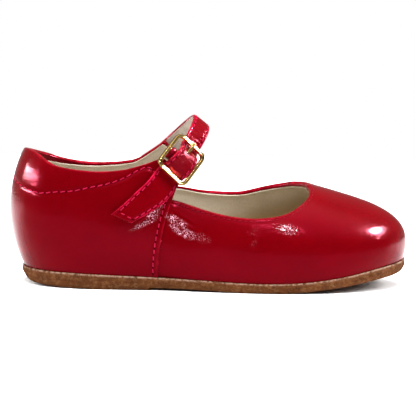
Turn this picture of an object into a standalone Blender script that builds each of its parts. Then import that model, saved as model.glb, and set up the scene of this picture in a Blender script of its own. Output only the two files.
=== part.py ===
"""Child's strap shoe for the right foot: a round closed toe, a closed heel, one strap
buckled over the instep, and a crepe rubber sole with a low heel.

One object stands for each piece that a maker puts together: outsole, insole, upper,
strap, buckle tab, buckle frame and buckle prong. The tables hold millimetres and the
objects are in metres. +X points to the toe, +Y to the inner side of the foot and +Z up.
The floor is Z = 0.
"""
import math

import bmesh
import bpy
import numpy as np

MM = 0.001

# ---------------------------------------------------------------- driving dimensions
FIT_GAP = 0.3                # clearance between pieces that meet

WALL = 2.2                   # upper leather with its lining, quarter included
OVERLAY = 0.6                # how far the quarter stands above the vamp at its front edge
OVERLAY_FADE = 14.0          # the vamp comes back to the quarter's level over this length
LEVEL_UNDER = 0.15           # share of a rib over which the wall turns flat for its lower rim

SOLE_EDGE = 0.6              # how far the sole stands out from the feather edge
SOLE_ROUND = 0.9             # rounding of the sole's lower edge
HEEL_BREAST = -21.0          # front face of the heel
BREAST_RUN = 0.3             # the breast leans by this much
BREAST_CLEAR = 0.012         # share of the length kept free of other stations beside it

INSOLE_THICK = 2.0
INSOLE_INSET = WALL + 0.4    # from the feather edge to the insole's edge

STRAP_THICK = 1.3
END_SLANT = 2.0              # the free end is cut aslant: each corner by this much
END_RUN = 12.0               # the slant fades out over this length

BUCKLE_CENTRE = (-9.9, -19.3, 47.6)     # middle of the centre bar
BUCKLE_OUT = (0.47, -0.86, 0.20)        # direction that the frame faces
BUCKLE_ALONG = (0.60, 0.80)             # direction of the strap there, in side view
FRAME_LENGTH = 15.8          # along the strap, outside
FRAME_WIDTH = 14.2           # across the strap, outside
FRAME_CORNER = 2.6           # outer corner radius
FRAME_BAR = 1.5              # width of the frame's bars, seen from the front
FRAME_DEPTH = 2.0            # thickness of the frame's bars
BAR_RADIUS = 0.6             # centre bar
BAR_DROP = 0.3               # how far the centre bar lies below the frame's middle plane

TAB_WIDTH = 10.6
TAB_THICK = 0.8
TAB_TAIL = 2.2               # from the centre bar back to the quarter's end
TAB_WRAP = 140               # degrees that the loop runs round the bar, either way
PRONG_WIDTH = 1.1
PRONG_THICK = 0.9
PRONG_TIP = 0.7              # the tip's size against the rest
HOOK = (-25, -270)           # degrees round the bar from the hook's end to the straight part
SLOT_WIDTH = 1.9             # the prong's slots in the strap and in the tab
STRAP_SLOT = (1.6, 5.2)      # along the strap, from the centre bar
TAB_SLOT = (-2.1, 2.5)

TIP_LIFT = 1.5               # the quarter's end is lifted to the centre bar by this much
LIFT_FROM = -8.0             # along the strap, from the centre bar: where the lift begins
LIFT_TO = -3.0               # and where it is complete

COLUMNS_PER_SPAN = 5         # mesh columns between two ribs
LOWER_ROWS = 10              # mesh rows from the feather edge up to the throat line
UPPER_ROWS = 5               # mesh rows from the throat line up to the collar
HEEL_SHARE = 0.66            # how far up its rib the throat line runs behind the heel
OVERLAY_STEP = 0.0006        # the vamp's first column stands this far from the quarter's

# ------------------------------------------------------------------------- the last
# A row for each rib of the last, round the shoe from the heel's back over the outer side
# (y < 0) to the toe and back over the inner side. Each rib is a curve from the feather
# edge up to the crest: the feather point (x, y), the first handle's reach outwards and
# upwards, the second handle (x, y, z) and the end on the crest (x, y, z).
RIBS = (
    # name             feather x, y   out    up    handle x, y, z         crest x, y, z
    ("heel back",      -69.0,   0.0,  6.6,  13.0,  -77.0,   0.0, 37.0,  -67.5,   0.0, 52.5),
    ("heel corner out", -63.0, -14.0, 6.2,  13.0,  -68.6, -18.5, 36.0,  -61.0, -13.5, 52.5),
    ("heel side out",  -50.0, -20.0,  4.8,  12.5,  -49.5, -25.8, 35.0,  -46.0, -18.0, 54.0),
    ("waist out",      -34.0, -21.4,  4.2,  12.5,  -32.0, -26.4, 35.0,  -26.5, -16.0, 56.5),
    ("wing back out",  -25.0, -21.4,  4.2,  13.0,  -22.5, -26.2, 36.0,  -12.5, -14.0, 58.5),
    ("wing front out", -17.7, -21.8,  4.4,  13.5,  -14.5, -25.2, 36.0,   -1.0,  -4.5, 57.0),
    ("joint out",        2.0, -24.4,  4.8,  12.0,    4.0, -28.0, 32.0,    9.0,  -6.0, 50.0),
    ("ball out",        20.0, -26.0,  5.0,  11.0,   18.0, -29.6, 29.0,   20.0,  -8.0, 44.5),
    ("toe side out",    44.0, -24.2,  4.6,  11.0,   38.5, -27.0, 29.5,   31.5,  -6.0, 40.2),
    ("toe corner out",  63.5, -16.0,  4.2,  13.0,   56.5, -17.5, 29.5,   34.5,  -3.0, 39.1),
    ("toe tip",         74.0,   1.5,  5.2,  18.0,   62.5,   2.0, 31.2,   34.0,   1.5, 38.9),
    ("toe corner in",   66.5,  15.5,  4.0,  14.0,   57.5,  18.5, 30.3,   34.0,   5.5, 38.8),
    ("toe side in",     48.0,  23.4,  4.4,  12.0,   42.0,  27.0, 30.5,   31.0,   9.0, 39.4),
    ("ball in",         24.0,  25.6,  4.8,  11.5,   20.0,  30.0, 30.5,   21.0,  10.0, 44.5),
    ("joint in",         3.0,  22.6,  4.6,  12.0,    4.0,  28.0, 33.0,    9.0,  11.0, 50.5),
    ("wing front in",  -17.0,  20.0,  4.2,  13.5,  -14.0,  26.0, 36.5,   -1.0,  11.0, 57.5),
    ("wing back in",   -25.0,  19.4,  4.2,  13.0,  -22.5,  25.8, 36.5,  -12.5,  13.0, 58.5),
    ("waist in",       -34.0,  19.2,  4.2,  12.5,  -32.0,  25.8, 35.5,  -26.5,  15.5, 56.5),
    ("heel side in",   -50.0,  18.8,  4.8,  12.5,  -49.5,  25.4, 35.0,  -46.0,  17.5, 54.0),
    ("heel corner in", -63.0,  13.6,  6.2,  13.0,  -68.6,  18.3, 36.0,  -61.0,  13.0, 52.5),
)

# Height of the quarter's top edge where it crosses each rib. Between the first row and
# "wing front in", and between the last row and "wing front out", the edge is the cut end
# of a wing.
COLLAR = (
    # rib, or the share of the way to the next rib, and the height
    ("wing back in", 0.15, 52.6),
    ("wing back in", 0.33, 50.3),
    ("wing back in", 0.55, 47.9),
    ("wing back in", 0.8, 45.6),
    ("waist in", 0.17, 44.1),
    ("waist in", 0.5, 43.5),
    ("heel side in", 0.0, 43.6),
    ("heel side in", 0.4, 44.7),
    ("heel corner in", 0.0, 47.5),
    ("heel back", 0.0, 50.2),
    ("heel corner out", 0.0, 49.0),
    ("heel corner out", 0.5, 45.4),
    ("heel side out", 0.0, 43.9),
    ("heel side out", 0.5, 43.4),
    ("waist out", 0.0, 44.4),
    ("waist out", 0.5, 46.1),
    ("wing back out", 0.0, 48.2),
)
WING_FRONT_OUT_HEIGHT = 41.3
WING_FRONT_IN_HEIGHT = 43.5

# How far up the rib, from 0 to 1, the vamp's throat edge crosses it.
THROAT = (
    # rib, share of the way to the next rib, how far up
    ("wing front out", 0.0, 0.603),
    ("wing front out", 0.5, 0.584),
    ("joint out", 0.0, 0.587),
    ("joint out", 0.5, 0.602),
    ("ball out", 0.0, 0.625),
    ("ball out", 0.5, 0.680),
    ("toe side out", 0.0, 0.800),
    ("toe side out", 0.5, 0.905),
    ("toe corner out", 0.0, 0.955),
    ("toe tip", 0.0, 0.966),
    ("toe corner in", 0.0, 0.977),
    ("toe corner in", 0.5, 0.973),
    ("toe side in", 0.0, 0.945),
    ("toe side in", 0.5, 0.865),
    ("ball in", 0.0, 0.775),
    ("ball in", 0.5, 0.695),
    ("joint in", 0.0, 0.650),
    ("joint in", 0.5, 0.618),
    ("wing front in", 0.0, 0.614),
)

# Feather edge and tread, seen from the side: height above the floor at each place.
FEATHER_LINE = (
    # x, height
    (-75.0, 6.4),
    (-50.0, 5.8),
    (-22.0, 4.9),
    (0.0, 4.2),
    (20.0, 3.6),
    (35.0, 4.1),
    (50.0, 6.0),
    (62.0, 8.3),
    (76.0, 10.4),
)
HEEL_TREAD = (
    (-71.0, 3.8),
    (-66.0, 1.5),
    (-60.0, 0.75),
    (-53.0, 0.35),
    (-46.0, 0.1),
    (-42.0, 0.0),
    (HEEL_BREAST, 0.0),
)
FRONT_TREAD = (
    (HEEL_BREAST, 0.8),
    (-8.0, 0.75),
    (2.0, 0.45),
    (10.0, 0.1),
    (14.0, 0.0),
    (28.0, 0.0),
    (34.0, 0.35),
    (42.0, 1.2),
    (52.0, 2.6),
    (62.0, 4.2),
    (70.0, 5.3),
    (76.0, 6.4),
)

# The strap, from its free end on the outer quarter to its sewn end on the inner quarter.
# On the quarters a row is the middle line's place in side view (x, z), how far it stands
# off the leather there beyond the usual clearance, and the strap's width.
OUTER_TAIL = (
    # x, z, off, width
    (-31.2, 26.4, 0.0, 6.8),
    (-27.3, 29.2, 0.0, 7.9),
    (-23.0, 32.7, 0.05, 9.2),
    (-18.8, 36.4, 0.5, 10.0),
)
# At the buckle: the middle line's place along the strap from the centre bar, across it
# and above the frame's middle plane, and the strap's width.
BUCKLE_RUN = (
    # along, across, height, width
    (-7.4, 0.5, -2.15, 10.2),
    (-5.6, 0.6, -1.4, 9.8),
    (-3.8, 0.6, 0.5, 9.4),
    (-2.0, 0.6, 1.9, 9.1),
    (-0.3, 0.5, 2.5, 8.8),
    (1.3, 0.5, 2.5, 8.5),
    (2.7, 0.5, 1.95, 8.3),
    (3.8, 0.6, 0.65, 8.1),
    (4.9, 0.6, -1.1, 7.9),
    (6.5, 0.6, -2.35, 7.6),
    (8.6, 0.6, -2.7, 7.4),
)
# Over the instep: the middle line's place and the strap's width.
INSTEP_RUN = (
    # x, y, z, width
    (-3.6, -8.4, 57.7, 7.3),
    (-3.0, -1.0, 60.4, 7.3),
    (-4.6, 6.6, 59.5, 7.4),
    (-8.0, 13.0, 56.0, 7.8),
)
CREST_ACROSS = (0.79, 0.0, -0.61)     # the strap's width line at the crest
INNER_TAIL = (
    # x, z, off, width
    (-14.4, 49.2, 0.0, 8.4),
    (-18.6, 45.0, 0.0, 8.8),
    (-22.8, 41.0, 0.0, 8.8),
    (-26.6, 37.6, 0.0, 8.4),
)
STRAP_POINTS = 96            # cross-sections along the strap

# The prong beyond its hook: along the strap from the centre bar, and height above the
# frame's middle plane. The last two rows are its tip, over the front bar.
PRONG_RUN = (
    # along, height
    (1.6, 1.1),
    (3.4, 1.2),
    (5.2, 1.63),
    (7.15, 1.75),
    (8.05, 1.65),
)
# The tab behind the loop round the centre bar: along the strap, and height.
TAB_END = (
    # along, height
    (-TAB_TAIL, -1.5),
    (-TAB_TAIL, -3.6),
)

RIB_NAMES = [row[0] for row in RIBS]
RIB_VALUES = np.array([row[1:] for row in RIBS])


# ------------------------------------------------------------------------- curves
def through(rows, at):
    """Smooth curve through (place, value) rows, read at the given places."""
    places = np.array([row[0] for row in rows], float)
    values = np.array([row[1] for row in rows], float)
    slopes = np.gradient(values, places)
    at = np.clip(np.asarray(at, float), places[0], places[-1])
    i = np.clip(np.searchsorted(places, at) - 1, 0, len(places) - 2)
    span = places[i + 1] - places[i]
    t = (at - places[i]) / span
    return ((2 * t**3 - 3 * t**2 + 1) * values[i]
            + (t**3 - 2 * t**2 + t) * span * slopes[i]
            + (3 * t**2 - 2 * t**3) * values[i + 1]
            + (t**3 - t**2) * span * slopes[i + 1])


def closed_spline(knots, values, at):
    """Smooth closed curve through the rows of values at the knots (0 to 1)."""
    count = len(knots)
    knots = np.append(knots, 1.0)
    span = np.diff(knots)
    matrix = np.zeros((count, count))
    bend = np.zeros_like(values)
    for i in range(count):
        ahead = (i + 1) % count
        matrix[i, i - 1] += span[i - 1]
        matrix[i, i] += 2 * (span[i - 1] + span[i])
        matrix[i, ahead] += span[i]
        bend[i] = 6 * ((values[ahead] - values[i]) / span[i]
                       - (values[i] - values[i - 1]) / span[i - 1])
    second = np.linalg.solve(matrix, bend)
    at = np.asarray(at, float) % 1.0
    i = np.clip(np.searchsorted(knots, at, side="right") - 1, 0, count - 1)
    j = (i + 1) % count
    width = span[i][..., None]
    b = (at - knots[i])[..., None] / width
    a = 1 - b
    return (a * values[i] + b * values[j]
            + ((a**3 - a) * second[i] + (b**3 - b) * second[j]) * width**2 / 6)


def open_spline(points, steps):
    """Smooth curve through points (rows), evenly stepped along its length."""
    points = np.asarray(points, float)
    place = np.concatenate([[0], np.cumsum(np.linalg.norm(np.diff(points[:, :3], axis=0),
                                                          axis=1) ** 0.5)])
    slopes = np.gradient(points, place, axis=0)
    fine = np.linspace(0, place[-1], 40 * len(points))
    i = np.clip(np.searchsorted(place, fine) - 1, 0, len(place) - 2)
    span = (place[i + 1] - place[i])[:, None]
    t = (fine - place[i])[:, None] / span
    curve = ((2 * t**3 - 3 * t**2 + 1) * points[i]
             + (t**3 - 2 * t**2 + t) * span * slopes[i]
             + (3 * t**2 - 2 * t**3) * points[i + 1]
             + (t**3 - t**2) * span * slopes[i + 1])
    run = np.concatenate([[0], np.cumsum(np.linalg.norm(np.diff(curve[:, :3], axis=0), axis=1))])
    even = np.linspace(0, run[-1], steps)
    return np.stack([np.interp(even, run, column) for column in curve.T], axis=1)


def unit(vectors):
    vectors = np.asarray(vectors, float)
    return vectors / np.linalg.norm(vectors, axis=-1, keepdims=True)


def smooth_step(t):
    t = np.clip(t, 0, 1)
    return t * t * (3 - 2 * t)


# ------------------------------------------------------------------- the last's form
def rib_places():
    """Each rib's place round the shoe, from 0 at the heel's back to 1."""
    feather = RIB_VALUES[:, :2]
    chords = np.linalg.norm(np.roll(feather, -1, axis=0) - feather, axis=1)
    return np.concatenate([[0], np.cumsum(chords)])[:-1] / chords.sum()


RIB_PLACES = rib_places()


def place_of(name, share=0.0):
    """Place of a rib, or of a point part of the way to the next one."""
    i = RIB_NAMES.index(name)
    ahead = RIB_PLACES[i + 1] if i + 1 < len(RIB_PLACES) else 1.0
    return RIB_PLACES[i] + share * (ahead - RIB_PLACES[i])


WING_FRONT_OUT = place_of("wing front out")
WING_FRONT_IN = place_of("wing front in")


def feather_out(u):
    """Level direction that points out of the shoe at the feather edge."""
    step = 1e-3
    along = (closed_spline(RIB_PLACES, RIB_VALUES[:, :2], u + step)
             - closed_spline(RIB_PLACES, RIB_VALUES[:, :2], u - step))
    along = unit(along)
    return np.stack([along[..., 1], -along[..., 0], np.zeros_like(along[..., 0])], -1)


def feather_height(x):
    return through(FEATHER_LINE, x)


def feather_point(u):
    flat = closed_spline(RIB_PLACES, RIB_VALUES[:, :2], u)
    return np.stack([flat[..., 0], flat[..., 1], feather_height(flat[..., 0])], -1)


def last_point(u, v):
    """Outer surface of the upper: u goes round the shoe, v up a rib."""
    u, v = np.broadcast_arrays(np.asarray(u, float), np.asarray(v, float))
    values = closed_spline(RIB_PLACES, RIB_VALUES, u)
    foot = feather_point(u)
    first = foot + feather_out(u) * values[..., 2:3]
    first[..., 2] += values[..., 3]
    v = v[..., None]
    w = 1 - v
    return (w**3 * foot + 3 * w * w * v * first
            + 3 * w * v * v * values[..., 4:7] + v**3 * values[..., 7:10])


def last_normal(u, v):
    step = 1e-4
    around = last_point(u + step, v) - last_point(u - step, v)
    upward = last_point(u, v + step) - last_point(u, v - step)
    return unit(np.cross(around, upward))


def share_at_height(u, height):
    """How far up a rib, from 0 to 1, it reaches the height."""
    low = np.full(np.shape(u), 0.2)
    high = np.ones(np.shape(u))
    for _ in range(40):
        middle = (low + high) / 2
        under = last_point(u, middle)[..., 2] < height
        low = np.where(under, middle, low)
        high = np.where(under, high, middle)
    return (low + high) / 2


# ------------------------------------------------------------------- buckle's axes
def buckle_axes():
    """Along the strap, across it (towards the toe), and out of the frame."""
    out = unit(BUCKLE_OUT)
    x, z = BUCKLE_ALONG
    inwards = -(x * out[0] + z * out[2]) / out[1]
    along = unit((x, inwards, z))
    return along, unit(np.cross(along, out)), out


ALONG, ACROSS, OUT = buckle_axes()


def at_buckle(along, across, out):
    """World place of a point given in the buckle's own directions."""
    return (np.asarray(BUCKLE_CENTRE) + np.multiply.outer(along, ALONG)
            + np.multiply.outer(across, ACROSS) + np.multiply.outer(out, OUT))


def wing_lift(points):
    """How far the outer quarter's end is lifted to the buckle's centre bar."""
    flat = unit((BUCKLE_ALONG[0], 0, BUCKLE_ALONG[1]))
    run = (points - np.asarray(BUCKLE_CENTRE)) @ flat
    lift = TIP_LIFT * smooth_step((run - LIFT_FROM) / (LIFT_TO - LIFT_FROM))
    return np.where(points[..., 1] < 0, lift, 0.0)


def quarter_point(u, v, off=0.0):
    """Point of the quarter's outer face, moved outwards by off."""
    points = last_point(u, v)
    return points + last_normal(u, v) * (wing_lift(points) + off)[..., None]


def on_quarter(x, z, side, off):
    """Point off the quarter's outer face at a place in side view, and the face's normal."""
    around = np.linspace(0.02, 0.24, 45) if side < 0 else np.linspace(0.76, 0.98, 45)
    up = np.linspace(0.3, 0.99, 45)
    u, v = [grid.ravel() for grid in np.meshgrid(around, up)]
    far = np.hypot(*(quarter_point(u, v)[:, ::2] - (x, z)).T)
    u, v = u[far.argmin()], v[far.argmin()]
    step = 1e-4
    for _ in range(12):
        here = quarter_point(u, v)[::2]
        by_u = (quarter_point(u + step, v)[::2] - here) / step
        by_v = (quarter_point(u, v + step)[::2] - here) / step
        move = np.linalg.solve(np.stack([by_u, by_v], 1), np.array((x, z)) - here)
        u, v = u + move[0], v + move[1]
    normal = unit(np.cross(quarter_point(u + step, v) - quarter_point(u - step, v),
                           quarter_point(u, v + step) - quarter_point(u, v - step)))
    return quarter_point(u, v) + normal * off, normal


# ------------------------------------------------------------------------- objects
def material(name, colour, roughness, metallic=0.0, coat=0.0):
    made = bpy.data.materials.new(name)
    made.use_nodes = True
    shader = made.node_tree.nodes["Principled BSDF"]
    shader.inputs["Base Color"].default_value = (*colour, 1.0)
    shader.inputs["Roughness"].default_value = roughness
    shader.inputs["Metallic"].default_value = metallic
    shader.inputs["Coat Weight"].default_value = coat
    made.diffuse_color = (*colour, 1.0)
    return made


def add_piece(name, points, faces, finish, smooth_under=40.0):
    """Object from points in millimetres, its faces pointing outwards."""
    mesh = bpy.data.meshes.new(name)
    mesh.from_pydata([tuple(p) for p in np.asarray(points) * MM], [], faces)
    work = bmesh.new()
    work.from_mesh(mesh)
    bmesh.ops.triangulate(work, faces=work.faces)
    bmesh.ops.recalc_face_normals(work, faces=work.faces)
    work.to_mesh(mesh)
    work.free()
    mesh.shade_smooth()
    mesh.set_sharp_from_angle(angle=math.radians(smooth_under))
    mesh.materials.append(finish)
    made = bpy.data.objects.new(name, mesh)
    bpy.context.scene.collection.objects.link(made)
    return made


def combine(target, tool, operation):
    """Boolean of the target with a tool that isn't itself part of the shoe."""
    tool.hide_render = True
    tool.display_type = "WIRE"
    change = target.modifiers.new(operation.title(), "BOOLEAN")
    change.operation = operation
    change.solver = "EXACT"
    change.object = tool


def tube(sections):
    """Points and faces of a solid with flat ends through equal cross-sections."""
    sections = np.asarray(sections)
    count, corners = sections.shape[:2]
    faces = []
    for i in range(count - 1):
        for j in range(corners):
            k = (j + 1) % corners
            faces.append((i * corners + j, i * corners + k,
                          (i + 1) * corners + k, (i + 1) * corners + j))
    faces.append(tuple(range(corners)))
    faces.append(tuple((count - 1) * corners + j for j in reversed(range(corners))))
    return sections.reshape(-1, 3), faces


def slot_box(name, along, finish):
    """Box that cuts the prong's slot between two places along the strap."""
    across = (-SLOT_WIDTH / 2, SLOT_WIDTH / 2)
    out = (-4.5, 4.5)
    corners = [(along[i], across[j], out[k]) for i in (0, 1) for j in (0, 1) for k in (0, 1)]
    points = [at_buckle(*corner) for corner in corners]
    faces = [(0, 1, 3, 2), (4, 6, 7, 5), (0, 4, 5, 1), (2, 3, 7, 6), (0, 2, 6, 4), (1, 5, 7, 3)]
    return add_piece(name, points, faces, finish)


# ------------------------------------------------------------------------- the upper
def collar_share(u):
    """How far up its rib the quarter reaches; u runs from inner to outer wing, by way of 1."""
    rows = []
    for name, share, height in COLLAR:
        place = place_of(name, share)
        rows.append((place if place > 0.5 else place + 1, height))
    first, last = rows[0], rows[-1]
    height = through(rows, u)
    inner = np.interp(u, [WING_FRONT_IN, first[0]], [WING_FRONT_IN_HEIGHT, first[1]])
    outer = np.interp(u, [last[0], WING_FRONT_OUT + 1], [last[1], WING_FRONT_OUT_HEIGHT])
    height = np.where(u < first[0], inner, np.where(u > last[0], outer, height))
    return share_at_height(u, height)


def throat_share(u):
    """How far up its rib the vamp reaches."""
    return through([(place_of(name, share), up) for name, share, up in THROAT], u)


def columns_between(start, end):
    """Column places from one rib to another, with the same number in each span."""
    ribs = np.concatenate([RIB_PLACES, RIB_PLACES + 1])
    ribs = ribs[(ribs >= start - 1e-9) & (ribs <= end + 1e-9)]
    steps = np.arange(COLUMNS_PER_SPAN) / COLUMNS_PER_SPAN
    inside = [a + (b - a) * steps for a, b in zip(ribs[:-1], ribs[1:])]
    return np.append(np.concatenate(inside), ribs[-1])


def inwards(u, v):
    """Direction through the wall; level at the feather edge, so that the rim lies flat."""
    normal = last_normal(u, v)
    level = smooth_step(v / LEVEL_UNDER)
    normal[..., 2] *= level
    return -unit(normal)


def build_upper(finish):
    """Vamp and quarters as one hollow wall, open at collar, throat and underneath."""
    quarter = columns_between(WING_FRONT_IN, WING_FRONT_OUT + 1)
    vamp = columns_between(WING_FRONT_OUT, WING_FRONT_IN)
    vamp[0] += OVERLAY_STEP
    vamp[-1] -= OVERLAY_STEP
    # the throat line carries on below the quarter's top edge, round the heel
    line_in, line_out = throat_share(np.array([WING_FRONT_IN, WING_FRONT_OUT]))
    ends = through([(quarter[0], line_in), (1.0, HEEL_SHARE), (quarter[-1], line_out)], quarter)
    low_share = np.linspace(0, 1, LOWER_ROWS + 1)
    high_share = np.linspace(0, 1, UPPER_ROWS + 1)[1:]

    outer, inner = [], []
    for places, is_quarter in ((quarter, True), (vamp, False)):
        line = ends if is_quarter else throat_share(places)
        rows = [line * share for share in low_share]
        if is_quarter:
            top = collar_share(places)
            rows += [line + (top - line) * share for share in high_share]
        rows = np.array(rows)
        u = np.broadcast_to(places, rows.shape)
        if is_quarter:
            skin = quarter_point(u, rows)
        else:
            skin = last_point(u, rows)
            near = np.minimum(np.abs(skin[..., 0] - skin[:, :1, 0]),
                              np.abs(skin[..., 0] - skin[:, -1:, 0]))
            sink = OVERLAY * (1 - smooth_step(near / OVERLAY_FADE))
            skin = skin + inwards(u, rows) * sink[..., None]
        last = quarter_point(u, rows) if is_quarter else last_point(u, rows)
        outer.append(skin)
        inner.append(last + inwards(u, rows) * WALL)

    points, index = [], {}
    for layer, (quarter_grid, vamp_grid) in enumerate((outer, inner)):
        column = 0
        for grid in (quarter_grid, vamp_grid):
            for j in range(grid.shape[1]):
                for i in range(grid.shape[0]):
                    index[layer, i, column] = len(points)
                    points.append(grid[i, j])
                column += 1
    total = len(quarter) + len(vamp)
    faces = []
    for column in range(total):
        ahead = (column + 1) % total
        tall = column < len(quarter) - 1
        for i in range(LOWER_ROWS + (UPPER_ROWS if tall else 0)):
            for layer in (0, 1):
                face = [index[layer, i, column], index[layer, i, ahead],
                        index[layer, i + 1, ahead], index[layer, i + 1, column]]
                faces.append(face if layer == 0 else face[::-1])
        rim_row = LOWER_ROWS + UPPER_ROWS if tall else LOWER_ROWS
        for i, flip in ((0, True), (rim_row, False)):
            face = [index[0, i, column], index[0, i, ahead],
                    index[1, i, ahead], index[1, i, column]]
            faces.append(face[::-1] if flip else face)
    for column in (0, len(quarter) - 1):
        for i in range(LOWER_ROWS, LOWER_ROWS + UPPER_ROWS):
            face = [index[0, i, column], index[0, i + 1, column],
                    index[1, i + 1, column], index[1, i, column]]
            faces.append(face if column == 0 else face[::-1])
    return add_piece("upper", points, faces, finish)


# ------------------------------------------------------------------------- the sole
def outline(offset, shares):
    """Both sides of the feather outline, moved outwards by offset, at shares of its length."""
    u = np.linspace(0, 1, 2001)
    edge = (feather_point(u) + feather_out(u) * offset)[:, :2]
    toe = edge[:, 0].argmax()
    heel = edge[:, 0].argmin()
    loop = np.roll(edge[:-1], -heel, axis=0)
    toe = (toe - heel) % 2000
    outer, inner = loop[:toe + 1], loop[toe:]
    inner = np.vstack([inner, loop[:1]])[::-1]
    low, high = loop[0], loop[toe]
    x = low[0] + (high[0] - low[0]) * shares
    return x, np.interp(x, outer[:, 0], outer[:, 1]), np.interp(x, inner[:, 0], inner[:, 1])


def sole_stations(count=44):
    """Shares of the length, closer at the ends, with both edges of the heel breast."""
    even = (1 - np.cos(np.linspace(0, math.pi, count))) / 2
    x, _, _ = outline(SOLE_EDGE, np.array([0.0, 1.0]))
    breast = (np.array([HEEL_BREAST, HEEL_BREAST + BREAST_RUN]) - x[0]) / (x[1] - x[0])
    even = even[np.abs(even - breast.mean()) > BREAST_CLEAR]
    return np.sort(np.concatenate([even, breast]))


def tread_height(x):
    heel = x <= HEEL_BREAST + 0.01
    return np.where(heel, np.maximum(through(HEEL_TREAD, x), 0),
                    np.maximum(through(FRONT_TREAD, x), 0))


def ladder(rings):
    """Solid through rings that run down the sides; top and bottom are closed by rungs.

    Each ring is (x, outer y, inner y, z) at the same stations, top ring first. The first
    and last stations are single points at the heel and at the toe.
    """
    points, index = [], {}
    for r, (x, outer, inner, z) in enumerate(rings):
        for i in range(len(x)):
            for side, y in ((0, outer[i]), (1, inner[i])):
                if side == 1 and i in (0, len(x) - 1):
                    index[r, i, side] = index[r, i, 0]
                    continue
                index[r, i, side] = len(points)
                points.append((x[i], y, z[i]))
    stations = len(rings[0][0])
    faces = []

    def face(*corners):
        loop = [index[c] for c in corners]
        loop = [p for n, p in enumerate(loop) if p != loop[n - 1]]
        if len(set(loop)) > 2:
            faces.append(loop)

    for i in range(stations - 1):
        bottom = len(rings) - 1
        face((0, i, 0), (0, i + 1, 0), (0, i + 1, 1), (0, i, 1))
        face((bottom, i, 1), (bottom, i + 1, 1), (bottom, i + 1, 0), (bottom, i, 0))
        for r in range(len(rings) - 1):
            face((r, i, 0), (r + 1, i, 0), (r + 1, i + 1, 0), (r, i + 1, 0))
            face((r, i, 1), (r, i + 1, 1), (r + 1, i + 1, 1), (r + 1, i, 1))
    return points, faces


def build_outsole(finish):
    stations = sole_stations()
    x, outer, inner = outline(SOLE_EDGE, stations)
    top = feather_height(x) - FIT_GAP
    tread = tread_height(x)
    low_x = x.copy()
    low_x[0] += SOLE_ROUND
    low_x[-1] -= SOLE_ROUND
    narrow = (outer + inner) / 2
    half = (inner - outer) / 2
    less = np.minimum(SOLE_ROUND, half * 0.5)
    outer_low = narrow - (half - less)
    inner_low = narrow + (half - less)
    outer_low[[0, -1]] = inner_low[[0, -1]] = narrow[[0, -1]]
    side = tread + np.minimum(SOLE_ROUND, (top - tread) * 0.4)
    rings = ((x, outer, inner, top),
             (x, outer, inner, side),
             (low_x, outer_low, inner_low, tread))
    return add_piece("outsole", *ladder(rings), finish)


def build_insole(finish):
    stations = (1 - np.cos(np.linspace(0, math.pi, 36))) / 2
    x, outer, inner = outline(-INSOLE_INSET, stations)
    low = feather_height(x)
    rings = ((x, outer, inner, low + INSOLE_THICK), (x, outer, inner, low))
    return add_piece("insole", *ladder(rings), finish)


# ------------------------------------------------------------------------- the strap
def strap_stations():
    """Rows of (x, y, z, across x, y, z, width) along the strap's middle."""
    lie = FIT_GAP + STRAP_THICK / 2
    rows = []
    outer = [on_quarter(x, z, -1, lie + off) for x, z, off, _ in OUTER_TAIL]
    inner = [on_quarter(x, z, 1, lie + off) for x, z, off, _ in INNER_TAIL]
    for (place, normal), row in zip(outer, OUTER_TAIL):
        run = unit(outer[-1][0] - outer[0][0])
        rows.append((*place, *unit(np.cross(run, normal)), row[-1]))
    for along, across, out, width in BUCKLE_RUN:
        rows.append((*at_buckle(along, across, out), *ACROSS, width))
    for x, y, z, width in INSTEP_RUN:
        rows.append((x, y, z, *CREST_ACROSS, width))
    for (place, normal), row in zip(inner, INNER_TAIL):
        run = unit(inner[-1][0] - inner[0][0])
        rows.append((*place, *unit(np.cross(run, normal)), row[-1]))
    return np.array(rows)


def strap_sections(across_shares, steps=STRAP_POINTS):
    """Cross-sections of the strap: (share of half width, share of half thickness)."""
    path = open_spline(strap_stations(), steps)
    place = path[:, :3]
    run = unit(np.gradient(place, axis=0))
    across = path[:, 3:6]
    across = unit(across - (across * run).sum(1, keepdims=True) * run)
    out = unit(np.cross(across, run))
    length = np.concatenate([[0], np.cumsum(np.linalg.norm(np.diff(place, axis=0), axis=1))])
    slant = END_SLANT * (1 - smooth_step(length / END_RUN))
    sections = []
    for i in range(steps):
        sections.append([place[i] + across[i] * path[i, 6] / 2 * s + out[i] * STRAP_THICK / 2 * t
                         + run[i] * slant[i] * s
                         for s, t in across_shares])
    return np.array(sections)


# The strap's cross-section, with broken edges: shares of half its width and thickness.
STRAP_SECTION = ((-1.0, -0.5), (-1.0, 0.5), (-0.93, 1.0), (0.93, 1.0),
                 (1.0, 0.5), (1.0, -0.5), (0.93, -1.0), (-0.93, -1.0))


def build_strap(finish):
    strap = add_piece("strap", *tube(strap_sections(STRAP_SECTION)), finish)
    combine(strap, slot_box("strap_slot", STRAP_SLOT, finish), "DIFFERENCE")
    return strap


# ------------------------------------------------------------------------- the buckle
def bar_section(width, depth):
    """Eight corners of a bar's cross-section with broken edges."""
    w, d = width / 2, depth / 2
    cut = 0.45
    return ((w, -d * cut), (w, d * cut), (w * cut, d), (-w * cut, d),
            (-w, d * cut), (-w, -d * cut), (-w * cut, -d), (w * cut, -d))


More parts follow.
